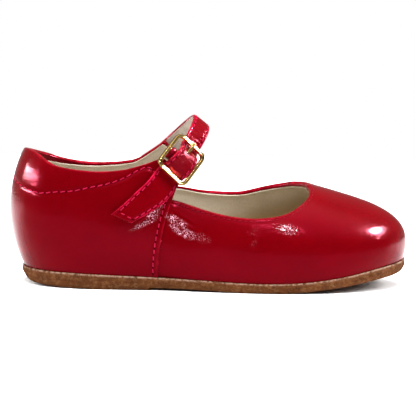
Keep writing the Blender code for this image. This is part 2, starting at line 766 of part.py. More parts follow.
def build_frame(finish):
    """Rounded rectangle of bar, with the centre bar across it."""
    half_long = (FRAME_LENGTH - FRAME_BAR) / 2
    half_wide = (FRAME_WIDTH - FRAME_BAR) / 2
    radius = FRAME_CORNER - FRAME_BAR / 2
    path = []
    for quadrant in range(4):
        middle = math.radians(45 + 90 * quadrant)
        cx = math.copysign(half_long - radius, math.cos(middle))
        cy = math.copysign(half_wide - radius, math.sin(middle))
        for step in range(6):
            angle = math.radians(90 * quadrant + 18 * step)
            path.append((cx + radius * math.cos(angle), cy + radius * math.sin(angle),
                         math.cos(angle), math.sin(angle)))
    points = []
    section = bar_section(FRAME_BAR, FRAME_DEPTH)
    for along, across, nx, ny in path:
        for w, d in section:
            points.append(at_buckle(along + nx * w, across + ny * w, d))
    count, corners = len(path), len(section)
    faces = []
    for i in range(count):
        for j in range(corners):
            k = (j + 1) % corners
            i2 = (i + 1) % count
            faces.append((i * corners + j, i * corners + k, i2 * corners + k, i2 * corners + j))
    frame = add_piece("buckle_frame", points, faces, finish)
    bar = []
    for across in (-half_wide, half_wide):
        ring = [(BAR_RADIUS * math.cos(a), across, BAR_RADIUS * math.sin(a) - BAR_DROP)
                for a in np.linspace(0, 2 * math.pi, 13)[:-1]]
        bar.append([at_buckle(*corner) for corner in ring])
    combine(frame, add_piece("centre_bar", *tube(bar), finish), "UNION")
    return frame


def build_tab(finish):
    """Leather loop round the centre bar, closed behind it into a short tail."""
    hole = BAR_RADIUS + FIT_GAP
    loop = hole + TAB_THICK
    angles = np.linspace(-math.radians(TAB_WRAP), math.radians(TAB_WRAP), 17)
    round_part = [(loop * math.cos(a), loop * math.sin(a) - BAR_DROP) for a in angles]
    rim = round_part + list(TAB_END)
    behind = np.linspace(math.radians(TAB_WRAP), math.radians(360 - TAB_WRAP), 4)[1:-1]
    ring_angles = [*angles, *behind]
    eye = [(hole * math.cos(a), hole * math.sin(a) - BAR_DROP) for a in ring_angles]
    count = len(rim)
    half = TAB_WIDTH / 2
    points = []
    for across in (-half, half):
        for along, out in rim + eye:
            points.append(at_buckle(along, across, out))
    faces = []
    for i in range(count):
        j = (i + 1) % count
        rim_a, rim_b, eye_a, eye_b = i, j, count + i, count + j
        far = 2 * count
        faces.append((rim_a, rim_b, rim_b + far, rim_a + far))
        faces.append((eye_b, eye_a, eye_a + far, eye_b + far))
        faces.append((rim_a, eye_a, eye_b, rim_b))
        faces.append((rim_b + far, eye_b + far, eye_a + far, rim_a + far))
    tab = add_piece("buckle_tab", points, faces, finish)
    combine(tab, slot_box("tab_slot", TAB_SLOT, finish), "DIFFERENCE")
    return tab


def build_prong(finish):
    """Flat wire hooked round the centre bar, its tip on the front bar."""
    radius = BAR_RADIUS + FIT_GAP + PRONG_THICK / 2
    path = [(radius * math.cos(a), radius * math.sin(a) - BAR_DROP)
            for a in np.linspace(math.radians(HOOK[0]), math.radians(HOOK[1]), 14)]
    path = np.array(path + list(PRONG_RUN))
    run = unit(np.gradient(path, axis=0))
    sections = []
    for i, (place, direction) in enumerate(zip(path, run)):
        side = np.array((-direction[1], direction[0]))
        taper = PRONG_TIP if i == len(path) - 1 else 1.0
        ring = []
        for w, d in bar_section(PRONG_WIDTH * taper, PRONG_THICK * taper):
            along, out = place + side * d
            ring.append(at_buckle(along, w, out))
        sections.append(ring)
    return add_piece("buckle_prong", *tube(sections), finish)


# ------------------------------------------------------------------------- the shoe
def build_shoe():
    for old in list(bpy.data.objects):
        bpy.data.objects.remove(old)
    patent = material("red_patent_leather", (0.33, 0.0, 0.012), 0.12, coat=1.0)
    strap_patent = material("red_strap_patent", (0.36, 0.0, 0.02), 0.15, coat=1.0)
    tab_patent = material("red_tab_patent", (0.30, 0.0, 0.012), 0.15, coat=1.0)
    crepe = material("tan_crepe_rubber", (0.30, 0.16, 0.07), 0.85)
    sock = material("cream_lining_leather", (0.62, 0.55, 0.42), 0.6)
    brass = material("gilt_brass", (0.90, 0.66, 0.28), 0.18, metallic=1.0)
    prong_brass = material("gilt_brass_prong", (0.88, 0.66, 0.32), 0.2, metallic=1.0)
    build_outsole(crepe)
    build_insole(sock)
    build_upper(patent)
    build_strap(strap_patent)
    build_tab(tab_patent)
    build_frame(brass)
    build_prong(prong_brass)


build_shoe()
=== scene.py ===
# %% [markdown]
# # A child's red strap shoe, dressed for the camera
#
# The shoe is small: 149 mm from heel to toe, for a right foot. It has a closed toe, a
# closed heel, one strap with a gilt buckle, and a crepe rubber sole. The solids that are
# loaded here have the true sizes. This lesson makes the leather, the lining, the thread,
# the gilding and the rubber that a person sees.
#
# The lesson works in millimetres, as a shoemaker does, and turns them into metres when a
# mesh is made. +X points to the toe, +Y to the inner side of the foot, and +Z up.

# %% Load the solids
import math

import bmesh
import bpy
import numpy as np
from mathutils import Matrix, Vector, noise


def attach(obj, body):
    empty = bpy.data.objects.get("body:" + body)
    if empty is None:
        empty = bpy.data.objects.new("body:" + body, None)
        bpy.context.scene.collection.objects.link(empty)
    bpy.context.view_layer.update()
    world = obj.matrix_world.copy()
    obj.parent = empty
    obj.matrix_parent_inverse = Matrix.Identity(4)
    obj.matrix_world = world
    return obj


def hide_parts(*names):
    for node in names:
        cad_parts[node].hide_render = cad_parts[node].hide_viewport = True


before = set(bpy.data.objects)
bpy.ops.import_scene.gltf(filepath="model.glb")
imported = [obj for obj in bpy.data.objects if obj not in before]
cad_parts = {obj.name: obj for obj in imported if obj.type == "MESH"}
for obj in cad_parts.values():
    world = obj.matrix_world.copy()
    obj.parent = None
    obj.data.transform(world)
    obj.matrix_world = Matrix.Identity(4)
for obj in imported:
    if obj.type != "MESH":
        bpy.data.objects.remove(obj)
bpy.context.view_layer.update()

MM = 0.001
print("solids:", sorted(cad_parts))

# %% [markdown]
# ## The last
#
# A shoe takes its form from a last, the wooden or plastic foot that it is pulled over.
# The last could be sculpted, but seams and stitches have to lie exactly on it, so here it
# is a formula: twenty ribs stand round the foot, each one a curve from the feather edge,
# where the upper meets the sole, up to the crest of the foot. A smooth curve through the
# ribs gives every point between them. `u` goes round the shoe and `v` goes up a rib.

# %% The ribs
RIBS = (
    # name             feather x, y   out    up    handle x, y, z         crest x, y, z
    ("heel back",      -69.0,   0.0,  6.6,  13.0,  -77.0,   0.0, 37.0,  -67.5,   0.0, 52.5),
    ("heel corner out", -63.0, -14.0, 6.2,  13.0,  -68.6, -18.5, 36.0,  -61.0, -13.5, 52.5),
    ("heel side out",  -50.0, -20.0,  4.8,  12.5,  -49.5, -25.8, 35.0,  -46.0, -18.0, 54.0),
    ("waist out",      -34.0, -21.4,  4.2,  12.5,  -32.0, -26.4, 35.0,  -26.5, -16.0, 56.5),
    ("wing back out",  -25.0, -21.4,  4.2,  13.0,  -22.5, -26.2, 36.0,  -12.5, -14.0, 58.5),
    ("wing front out", -17.7, -21.8,  4.4,  13.5,  -14.5, -25.2, 36.0,   -1.0,  -4.5, 57.0),
    ("joint out",        2.0, -24.4,  4.8,  12.0,    4.0, -28.0, 32.0,    9.0,  -6.0, 50.0),
    ("ball out",        20.0, -26.0,  5.0,  11.0,   18.0, -29.6, 29.0,   20.0,  -8.0, 44.5),
    ("toe side out",    44.0, -24.2,  4.6,  11.0,   38.5, -27.0, 29.5,   31.5,  -6.0, 40.2),
    ("toe corner out",  63.5, -16.0,  4.2,  13.0,   56.5, -17.5, 29.5,   34.5,  -3.0, 39.1),
    ("toe tip",         74.0,   1.5,  5.2,  18.0,   62.5,   2.0, 31.2,   34.0,   1.5, 38.9),
    ("toe corner in",   66.5,  15.5,  4.0,  14.0,   57.5,  18.5, 30.3,   34.0,   5.5, 38.8),
    ("toe side in",     48.0,  23.4,  4.4,  12.0,   42.0,  27.0, 30.5,   31.0,   9.0, 39.4),
    ("ball in",         24.0,  25.6,  4.8,  11.5,   20.0,  30.0, 30.5,   21.0,  10.0, 44.5),
    ("joint in",         3.0,  22.6,  4.6,  12.0,    4.0,  28.0, 33.0,    9.0,  11.0, 50.5),
    ("wing front in",  -17.0,  20.0,  4.2,  13.5,  -14.0,  26.0, 36.5,   -1.0,  11.0, 57.5),
    ("wing back in",   -25.0,  19.4,  4.2,  13.0,  -22.5,  25.8, 36.5,  -12.5,  13.0, 58.5),
    ("waist in",       -34.0,  19.2,  4.2,  12.5,  -32.0,  25.8, 35.5,  -26.5,  15.5, 56.5),
    ("heel side in",   -50.0,  18.8,  4.8,  12.5,  -49.5,  25.4, 35.0,  -46.0,  17.5, 54.0),
    ("heel corner in", -63.0,  13.6,  6.2,  13.0,  -68.6,  18.3, 36.0,  -61.0,  13.0, 52.5),
)
RIB_NAMES = [row[0] for row in RIBS]
RIB_VALUES = np.array([row[1:] for row in RIBS])
FEATHER_LINE = ((-75.0, 6.4), (-50.0, 5.8), (-22.0, 4.9), (0.0, 4.2), (20.0, 3.6),
                (35.0, 4.1), (50.0, 6.0), (62.0, 8.3), (76.0, 10.4))

# %% Smooth curves through rows of numbers


def unit(vectors):
    vectors = np.asarray(vectors, float)
    return vectors / np.maximum(np.linalg.norm(vectors, axis=-1, keepdims=True), 1e-12)


def smooth_step(t):
    t = np.clip(t, 0, 1)
    return t * t * (3 - 2 * t)


def between(rows, slopes, i, t, span):
    """The smooth run from row i to the next one, at the share t of the span between them."""
    return ((2 * t**3 - 3 * t**2 + 1) * rows[i] + (t**3 - 2 * t**2 + t) * span * slopes[i]
            + (3 * t**2 - 2 * t**3) * rows[i + 1] + (t**3 - t**2) * span * slopes[i + 1])


def through(rows, at):
    """Smooth curve through (place, value) rows, read at the given places."""
    places, values = np.array(rows, float).T
    slopes = np.gradient(values, places)
    at = np.clip(np.asarray(at, float), places[0], places[-1])
    i = np.clip(np.searchsorted(places, at) - 1, 0, len(places) - 2)
    span = places[i + 1] - places[i]
    return between(values, slopes, i, (at - places[i]) / span, span)


def closed_spline(knots, values, at):
    """Smooth closed curve through the rows of values at the knots (0 to 1)."""
    count = len(knots)
    knots = np.append(knots, 1.0)
    span = np.diff(knots)
    matrix, bend = np.zeros((count, count)), np.zeros_like(values)
    for i in range(count):
        ahead = (i + 1) % count
        matrix[i, i - 1] += span[i - 1]
        matrix[i, i] += 2 * (span[i - 1] + span[i])
        matrix[i, ahead] += span[i]
        bend[i] = 6 * ((values[ahead] - values[i]) / span[i]
                       - (values[i] - values[i - 1]) / span[i - 1])
    second = np.linalg.solve(matrix, bend)
    at = np.asarray(at, float) % 1.0
    i = np.clip(np.searchsorted(knots, at, side="right") - 1, 0, count - 1)
    j = (i + 1) % count
    width = span[i][..., None]
    b = (at - knots[i])[..., None] / width
    a = 1 - b
    return (a * values[i] + b * values[j]
            + ((a**3 - a) * second[i] + (b**3 - b) * second[j]) * width**2 / 6)


def run_length(points):
    """Length run so far at each point of a line."""
    steps = np.linalg.norm(np.diff(points, axis=0), axis=-1)
    return np.concatenate([np.zeros((1, *steps.shape[1:])), np.cumsum(steps, axis=0)])


def open_spline(points, steps):
    """Smooth curve through rows of numbers, evenly stepped along its first three."""
    points = np.asarray(points, float)
    chords = np.linalg.norm(np.diff(points[:, :3], axis=0), axis=1)
    place = np.concatenate([[0], np.cumsum(chords ** 0.5)])
    fine = np.linspace(0, place[-1], 40 * len(points))
    slopes = np.gradient(points, place, axis=0)
    i = np.clip(np.searchsorted(place, fine) - 1, 0, len(place) - 2)
    span = (place[i + 1] - place[i])[:, None]
    curve = between(points, slopes, i, (fine - place[i])[:, None] / span, span)
    run = run_length(curve[:, :3])
    even = np.linspace(0, run[-1], steps)
    return np.stack([np.interp(even, run, column) for column in curve.T], axis=1)


# %% Points on the last
def rib_places():
    feather = RIB_VALUES[:, :2]
    chords = np.linalg.norm(np.roll(feather, -1, axis=0) - feather, axis=1)
    return np.concatenate([[0], np.cumsum(chords)])[:-1] / chords.sum()


RIB_PLACES = rib_places()


def place_of(name, share=0.0):
    """Place round the shoe of a rib, or of a point part of the way to the next one."""
    i = RIB_NAMES.index(name)
    ahead = RIB_PLACES[i + 1] if i + 1 < len(RIB_PLACES) else 1.0
    return RIB_PLACES[i] + share * (ahead - RIB_PLACES[i])


def feather_out(u):
    """Level direction that points out of the shoe at the feather edge."""
    along = unit(closed_spline(RIB_PLACES, RIB_VALUES[:, :2], u + 1e-3)
                 - closed_spline(RIB_PLACES, RIB_VALUES[:, :2], u - 1e-3))
    return np.stack([along[..., 1], -along[..., 0], np.zeros_like(along[..., 0])], -1)


def feather_height(x):
    return through(FEATHER_LINE, x)


def feather_point(u):
    flat = closed_spline(RIB_PLACES, RIB_VALUES[:, :2], u)
    return np.stack([flat[..., 0], flat[..., 1], feather_height(flat[..., 0])], -1)


def last_point(u, v):
    u, v = np.broadcast_arrays(np.asarray(u, float), np.asarray(v, float))
    values = closed_spline(RIB_PLACES, RIB_VALUES, u)
    foot = feather_point(u)
    first = foot + feather_out(u) * values[..., 2:3]
    first[..., 2] += values[..., 3]
    v = v[..., None]
    w = 1 - v
    return (w**3 * foot + 3 * w * w * v * first
            + 3 * w * v * v * values[..., 4:7] + v**3 * values[..., 7:10])


def last_normal(u, v):
    step = 1e-4
    around = last_point(u + step, v) - last_point(u - step, v)
    upward = last_point(u, v + step) - last_point(u, v - step)
    return unit(np.cross(around, upward))


def share_at_height(u, height):
    """How far up a rib, from 0 to 1, it reaches the height."""
    low, high = np.full(np.shape(u), 0.2), np.ones(np.shape(u))
    for _ in range(40):
        middle = (low + high) / 2
        under = last_point(u, middle)[..., 2] < height
        low, high = np.where(under, middle, low), np.where(under, high, middle)
    return (low + high) / 2


WING_FRONT_OUT, WING_FRONT_IN = place_of("wing front out"), place_of("wing front in")
print("ribs:", len(RIBS), " toe tip at", np.round(last_point(place_of("toe tip"), 0.0), 1))

# %% [markdown]
# ## The edges of the upper
#
# Two pieces of leather make the upper. The quarter wraps the heel and rises into a wing
# on each side, which carries the strap. The vamp covers the toes, and its throat is the
# opening in front of the strap. The top edges are given by a few measurements each: the
# collar by heights, because it is cut level with the ankle, and the throat by how far up
# each rib it runs, because the top of the foot is nearly flat there.

# %% Collar and throat
COLLAR = (
    ("wing back in", 0.15, 52.6), ("wing back in", 0.33, 50.3), ("wing back in", 0.55, 47.9),
    ("wing back in", 0.8, 45.6), ("waist in", 0.17, 44.1), ("waist in", 0.5, 43.5),
    ("heel side in", 0.0, 43.6), ("heel side in", 0.4, 44.7), ("heel corner in", 0.0, 47.5),
    ("heel back", 0.0, 50.2), ("heel corner out", 0.0, 49.0),
    ("heel corner out", 0.5, 45.4), ("heel side out", 0.0, 43.9), ("heel side out", 0.5, 43.4),
    ("waist out", 0.0, 44.4), ("waist out", 0.5, 46.1), ("wing back out", 0.0, 48.2),
)
WING_FRONT_OUT_HEIGHT, WING_FRONT_IN_HEIGHT = 41.3, 43.5
THROAT = (
    ("wing front out", 0.0, 0.603), ("wing front out", 0.5, 0.584), ("joint out", 0.0, 0.587),
    ("joint out", 0.5, 0.602), ("ball out", 0.0, 0.625), ("ball out", 0.5, 0.680),
    ("toe side out", 0.0, 0.800), ("toe side out", 0.5, 0.905), ("toe corner out", 0.0, 0.955),
    ("toe tip", 0.0, 0.966), ("toe corner in", 0.0, 0.977), ("toe corner in", 0.5, 0.973),
    ("toe side in", 0.0, 0.945), ("toe side in", 0.5, 0.865), ("ball in", 0.0, 0.775),
    ("ball in", 0.5, 0.695), ("joint in", 0.0, 0.650), ("joint in", 0.5, 0.618),
    ("wing front in", 0.0, 0.614),
)


def past_heel(place):
    """Places on the outer side count on from 1, so that the quarter is one run of u."""
    return place if place > 0.5 else place + 1


def collar_share(u):
    """How far up its rib the quarter reaches; u runs from the inner to the outer wing."""
    rows = [(past_heel(place_of(name, share)), height) for name, share, height in COLLAR]
    first, last = rows[0], rows[-1]
    height = through(rows, u)
    inner = np.interp(u, [WING_FRONT_IN, first[0]], [WING_FRONT_IN_HEIGHT, first[1]])
    outer = np.interp(u, [last[0], WING_FRONT_OUT + 1], [last[1], WING_FRONT_OUT_HEIGHT])
    return share_at_height(u, np.where(u < first[0], inner, np.where(u > last[0], outer, height)))


def throat_share(u):
    """How far up its rib the vamp reaches."""
    return through([(place_of(name, share), up) for name, share, up in THROAT], u)


# %% [markdown]
# ## The buckle's own directions
#
# The buckle sits aslant on the side of the instep. Everything on it is easier to say
# along the strap, across the strap and out of the frame, so those three directions are
# worked out once. The end of the outer wing is lifted a little to reach the centre bar.

# %% Buckle directions and the lifted wing
BUCKLE_CENTRE = np.array((-9.9, -19.3, 47.6))
BUCKLE_SLOPE = (0.60, 0.80)                            # of the strap, in side view
OUT = unit((0.47, -0.86, 0.20))
ALONG = unit((BUCKLE_SLOPE[0],
              -(BUCKLE_SLOPE[0] * OUT[0] + BUCKLE_SLOPE[1] * OUT[2]) / OUT[1],
              BUCKLE_SLOPE[1]))
ACROSS = unit(np.cross(ALONG, OUT))
WING_LIFT, LIFT_STARTS, LIFT_REACH = 1.5, -8.0, 5.0    # how much, from where, over what run
QUARTER_U = {-1: (0.02, 0.24), 1: (0.76, 0.98)}        # u on the outer and the inner side


def at_buckle(along, across, out):
    """Place from mm along the strap, across it and out of the buckle's frame."""
    return (BUCKLE_CENTRE + np.multiply.outer(along, ALONG)
            + np.multiply.outer(across, ACROSS) + np.multiply.outer(out, OUT))


def wing_lift(points):
    """How far the outer wing is lifted off the last, in mm."""
    flat = unit((BUCKLE_SLOPE[0], 0, BUCKLE_SLOPE[1]))
    run = (points - BUCKLE_CENTRE) @ flat
    lift = WING_LIFT * smooth_step((run - LIFT_STARTS) / LIFT_REACH)
    return np.where(points[..., 1] < 0, lift, 0.0)


def off_the_last(u, v, off, lifted=True):
    """Points at a distance off the last or the lifted wing, and the directions out of it."""
    points, normal = last_point(u, v), last_normal(u, v)
    lift = wing_lift(points) if lifted else 0.0
    return points + normal * np.asarray(lift + off)[..., None], normal


def quarter_point(u, v, off=0.0):
    """Point of the quarter's outer face, moved outwards by off."""
    return off_the_last(u, v, off)[0]


def on_quarter(x, z, side, off):
    """Point off the quarter at a place in side view, and the direction out of the leather."""
    around, up = np.linspace(*QUARTER_U[side], 45), np.linspace(0.3, 0.99, 45)
    u, v = [grid.ravel() for grid in np.meshgrid(around, up)]
    nearest = np.hypot(*(quarter_point(u, v)[:, ::2] - (x, z)).T).argmin()
    u, v, step = u[nearest], v[nearest], 1e-4
    for _ in range(12):          # from the nearest of those places, step by step to the right one
        here = quarter_point(u, v)[::2]
        by_u = (quarter_point(u + step, v)[::2] - here) / step
        by_v = (quarter_point(u, v + step)[::2] - here) / step
        move = np.linalg.solve(np.stack([by_u, by_v], 1), np.array((x, z)) - here)
        u, v = u + move[0], v + move[1]
    normal = unit(np.cross(quarter_point(u + step, v) - quarter_point(u - step, v),
                           quarter_point(u, v + step) - quarter_point(u, v - step)))
    return quarter_point(u, v) + normal * off, normal


print("strap runs", np.round(ALONG, 3), " frame faces", np.round(OUT, 3))

# %% [markdown]
# ## A sheet with rounded edges
#
# Leather, lining and strap are all sheets: two faces a little apart, which meet in a
# round edge. A flat grid with a Solidify modifier would leave square edges, so the two
# faces are made here as grids of points, and near a free edge they are drawn together
# along a quarter circle. Where they meet they share their points, so the sheet is closed.

# %% The sheet maker
def rounding(distance, radius):
    """1 away from an edge, and down to 0 at the edge as a circle goes."""
    t = np.clip(distance / radius, 0, 1)
    return np.sqrt(np.clip(1 - (1 - t) ** 2, 0, 1))


def put_in_scene(name, data):
    made = bpy.data.objects.new(name, data)
    bpy.context.scene.collection.objects.link(made)
    return made


def mesh_from(name, points, faces, material, masks=None, sharp=None):
    """Piece from points in millimetres; masks are values for each point, by name."""
    mesh = bpy.data.meshes.new(name)
    mesh.from_pydata((np.asarray(points, float) * MM).tolist(), [], faces)
    for label, values in (masks or {}).items():
        layer = mesh.attributes.new(label, "FLOAT", "POINT")
        layer.data.foreach_set("value", np.asarray(values, np.float32).ravel())
    work = bmesh.new()
    work.from_mesh(mesh)
    bmesh.ops.remove_doubles(work, verts=work.verts, dist=1e-7)
    bmesh.ops.delete(work, geom=[v for v in work.verts if not v.link_faces], context="VERTS")
    work.to_mesh(mesh)
    work.free()
    mesh.shade_smooth()
    mesh.materials.append(material)
    made = put_in_scene(name, mesh)
    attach(made, "root")
    if sharp is not None:
        mesh.set_sharp_from_angle(angle=math.radians(sharp))
    return made


def sheet(name, front, back, round_off, material, masks, hole=None):
    """A sheet from its two faces, each a grid of points (rows, columns, 3).

    round_off is 1 on the body of the sheet and 0 on its free edges. masks are values for
    each point of the grid, by name. hole marks the cells of the grid that are cut out.
    """
    rows, columns = front.shape[:2]
    middle = (front + back) / 2
    front = middle + (front - middle) * round_off[..., None]
    back = middle + (back - middle) * round_off[..., None]
    ahead = np.arange(rows * columns).reshape(rows, columns)
    behind = np.where(round_off < 1e-6, ahead, ahead + rows * columns)
    faces = []

    def add_face(*corners):
        loop = [int(c) for n, c in enumerate(corners) if c != corners[n - 1]]
        if len(set(loop)) > 2:
            faces.append(loop)

    cut = np.ones((rows + 1, columns + 1), bool)      # the cells, with a rim of cut ones
    cut[1:-1, 1:-1] = False if hole is None else hole
    for i in range(rows - 1):
        for j in range(columns - 1):
            if cut[i + 1, j + 1]:
                continue
            a, b, c, d = (i, j), (i, j + 1), (i + 1, j + 1), (i + 1, j)
            add_face(ahead[a], ahead[b], ahead[c], ahead[d])
            add_face(behind[d], behind[c], behind[b], behind[a])
            for near, far, beyond in ((a, b, cut[i, j + 1]), (b, c, cut[i + 1, j + 2]),
                                      (c, d, cut[i + 2, j + 1]), (d, a, cut[i + 1, j])):
                if beyond:
                    add_face(ahead[far], ahead[near], behind[near], behind[far])
    points = np.concatenate([front.reshape(-1, 3), back.reshape(-1, 3)])
    masks = {label: np.concatenate([values.ravel()] * 2) for label, values in masks.items()}
    return mesh_from(name, points, faces, material, masks)


# %% [markdown]
# ## Rows and columns on the last
#
# The leather's grid follows the last: a column for each place round the shoe, and rows
# counted in millimetres down from the top edge. The first rows are very close together,
# because the folded edge turns through a half circle in about two millimetres.

# %% Grids on the last
NEAR_EDGE = np.array((0, 0.04, 0.15, 0.33, 0.56, 0.82, 1.12, 1.5, 1.95, 2.45, 3.0))
ROUND_THE_SHOE = 400.0       # about how many mm u counts for as it runs from 0 to 1


def up_the_ribs(u, top):
    """Close shares up each rib as far as its top, and the mm that are run at each."""
    shares = top * np.linspace(0, 1, 161)[:, None]
    return shares, run_length(last_point(u[None, :], shares))


def rows_below(u, top, count):
    """Shares up each rib, and distances in mm below the top edge, for every row."""
    shares, run = up_the_ribs(u, top)
    length = run[-1]
    rest = NEAR_EDGE[-1] + (length - NEAR_EDGE[-1]) * (np.arange(1, count + 1) / count)[:, None]
    below = np.concatenate([np.repeat(NEAR_EDGE[:, None], len(u), 1), rest])[::-1]
    v = np.stack([np.interp(length[j] - below[:, j], run[:, j], shares[:, j])
                  for j in range(len(u))], 1)
    return v, below


def columns_between(start, end, count):
    """Places round the shoe, closer together at both ends."""
    close = NEAR_EDGE / ROUND_THE_SHOE
    middle = np.linspace(start + close[-1], end - close[-1], count)
    return np.concatenate([start + close[:-1], middle, (end - close[:-1])[::-1]])


quarter_u = columns_between(WING_FRONT_IN, WING_FRONT_OUT + 1, 420)
quarter_v, quarter_below = rows_below(quarter_u, collar_share(quarter_u), 76)
quarter_uu = np.broadcast_to(quarter_u, quarter_v.shape)
quarter_face = quarter_point(quarter_uu, quarter_v)
quarter_run = run_length(quarter_face.transpose(1, 0, 2)).T
quarter_side = np.minimum(quarter_run, quarter_run[:, -1:] - quarter_run)
print("quarter grid:", quarter_v.shape, " longest row", round(float(quarter_run.max()), 1), "mm")

# %% [markdown]
# ## Finishes, first without their nodes
#
# Each finish is made once and shared by the pieces that have it. What is the same all
# over a surface is set here, on the shader's own sockets. Patent leather is dyed leather
# under a thick lacquer, so its shine is a sharp reflection over a deep colour. The nodes
# that vary a finish over the surface are added near the end, when the forms are right.

# %% Empty finishes
DEEP_RED, STRAP_RED = (0.070, 0.0001, 0.0010), (0.080, 0.0001, 0.0012)
# The sock's cream is a darker copy of the lining's cream: painted shade for the inside of the shoe.
LINING_CREAM, SOCK_SHADED_CREAM = (0.55, 0.505, 0.43), (0.25, 0.22, 0.165)
BACKING_GREY = (0.44, 0.39, 0.34)
THREAD_RED, THREAD_DARK = (0.25, 0.002, 0.022), (0.13, 0.001, 0.008)
# Painted shade: the near-black of the needle holes stands in for the shade inside them.
HOLE_PAINTED_SHADE = (0.018, 0.0, 0.001)
CREPE_TAN = (0.060, 0.019, 0.0055)
GILT = (0.93, 0.64, 0.23)
LACQUER = {"Specular_IOR_Level": 0.62, "Specular_Tint": (1.0, 0.06, 0.17, 1.0),
           "Coat_Weight": 0.02, "Coat_Roughness": 0.04}
MATT = {"Specular_IOR_Level": 0.08}


def finish(name, colour, roughness, **constants):
    """Material with a Principled shader; constants are values for its sockets."""
    made = bpy.data.materials.new(name)
    made.use_nodes = True
    shader = made.node_tree.nodes["Principled BSDF"]
    shader.inputs["Base Color"].default_value = (*colour, 1.0)
    shader.inputs["Roughness"].default_value = roughness
    for label, value in constants.items():
        shader.inputs[label.replace("_", " ")].default_value = value
    made.diffuse_color = (*colour, 1.0)
    return made


red_patent = finish("red_patent", DEEP_RED, 0.12, **LACQUER)
strap_patent = finish("strap_patent_leather", STRAP_RED, 0.13, **LACQUER)
cream_lining = finish("cream_lining", LINING_CREAM, 0.6, **MATT)
strap_backing = finish("strap_backing", BACKING_GREY, 0.75, **MATT)
sock_leather = finish("sock_leather", SOCK_SHADED_CREAM, 0.6, **MATT)
red_thread = finish("red_thread", THREAD_RED, 0.55, **MATT)
throat_thread = finish("dark_red_thread", THREAD_DARK, 0.5, **MATT)
needle_hole_shade = finish("needle_hole_painted_shade", HOLE_PAINTED_SHADE, 0.8, Specular_IOR_Level=0.0)
crepe = finish("crepe_rubber", CREPE_TAN, 0.85, Specular_IOR_Level=0.05)
gilt = finish("gilt", GILT, 0.12, Metallic=1.0)
print("finishes begun:", len(bpy.data.materials))

# %% [markdown]
# ## Relief in the leather
#
# Three things shape the smooth leather a little. A row of stitches pulls it down into a
# soft trough. The foot's joints bend it into creases. And the glue and the last leave it
# faintly uneven, which shows at once in patent leather, because its lacquer mirrors the
# room. Creases are given as lines in side view with a width and a depth.

# %% Stitch lines and creases
FACING_ROW = (      # the line where the collar facing is sewn down, as heights
    ("wing back in", 0.45, 44.4), ("wing back in", 0.7, 43.2), ("waist in", 0.0, 41.2),
    ("waist in", 0.34, 38.8), ("waist in", 0.7, 37.4), ("heel side in", 0.0, 36.1),
    ("heel side in", 0.38, 35.5), ("heel side in", 0.69, 34.9), ("heel corner in", 0.0, 36.0),
    ("heel back", 0.0, 39.6), ("heel corner out", 0.0, 36.0), ("heel corner out", 0.31, 34.9),
    ("heel corner out", 0.62, 35.5), ("heel side out", 0.0, 36.1), ("heel side out", 0.3, 37.4),
    ("heel side out", 0.66, 38.8), ("waist out", 0.0, 41.2), ("waist out", 0.4, 43.9),
    ("waist out", 0.62, 44.9), ("waist out", 0.8, 44.3), ("wing back out", 0.05, 41.6),
)
FACING_ROWS_BY_PLACE = sorted((past_heel(place_of(n, s)), h) for n, s, h in FACING_ROW)
FRONT_SEAM_IN = 2.0          # the seam lies this far behind the quarter's front edge
THROAT_SEAM_IN = 1.6         # and this far inside the throat's edge

CREASES = (
    # side, points (x, z) in side view, width, depth
    (-1, ((-27.6, 25.2), (-23.0, 28.6), (-17.4, 31.6)), 0.60, 0.24),
    (-1, ((-26.0, 23.8), (-21.0, 27.2), (-16.4, 29.6)), 0.50, 0.16),
    (-1, ((-24.6, 21.6), (-20.6, 24.8), (-17.0, 27.0)), 0.50, 0.12),
    (-1, ((-13.6, 29.2), (-9.4, 26.6), (-4.2, 23.6)), 0.55, 0.15),
    (-1, ((-13.2, 26.4), (-8.8, 24.0), (-3.6, 21.4)), 0.50, 0.14),
    (-1, ((-10.6, 22.6), (-5.4, 20.4), (1.6, 19.0)), 0.50, 0.06),
    (-1, ((21.6, 26.0), (26.6, 24.2), (31.4, 21.6)), 0.55, 0.07),
    (-1, ((24.6, 23.4), (29.2, 21.8), (33.6, 19.0)), 0.55, 0.06),
    (-1, ((13.8, 24.4), (16.2, 20.6), (17.4, 16.4)), 0.50, 0.05),
    (-1, ((-69.0, 25.4), (-60.0, 24.6), (-50.0, 24.9)), 1.40, 0.05),
    (1, ((18.0, 22.0), (22.0, 18.6), (25.0, 14.8)), 0.70, 0.10),
    (1, ((23.0, 23.0), (27.0, 19.4), (30.0, 15.4)), 0.70, 0.10),
    (1, ((12.0, 20.6), (15.4, 17.0), (18.2, 13.0)), 0.70, 0.08),
    (1, ((-12.0, 25.0), (-8.4, 21.0), (-4.6, 18.4)), 0.60, 0.09),
    (1, ((-30.0, 27.0), (-26.0, 22.6), (-23.4, 18.4)), 0.60, 0.09),
)
FLEX_ZONES = (
    # side, middle (x, z), reach along and across, slant in degrees, strength
    (-1, -10.3, 23.8, 7.0, 2.9, -40, 1.0),
    (-1, -13.0, 27.0, 2.4, 1.6, -40, 0.35),
    (-1, -19.4, 28.0, 4.8, 2.3, 55, 1.0),
    (-1, -24.8, 23.8, 4.2, 1.1, 28, 1.0),
    (-1, -2.0, 20.0, 5.0, 2.6, -15, 0.24),
    (-1, 29.0, 23.6, 6.0, 2.6, -12, 0.40),
    (-1, 16.5, 20.6, 3.2, 5.0, -10, 0.20),
    (-1, 63.0, 21.0, 6.0, 4.0, 10, 0.12),
    (1, -9.0, 25.8, 8.0, 4.2, -38, 0.8),
    (1, 26.0, 22.6, 8.0, 4.4, -25, 0.8),
    (1, 12.0, 20.6, 5.0, 4.0, -10, 0.4),
    (1, -23.0, 25.0, 6.0, 4.0, 35, 0.5),
)

MOST_FLEX = 1.7              # where zones meet, their crinkles add up to this at most


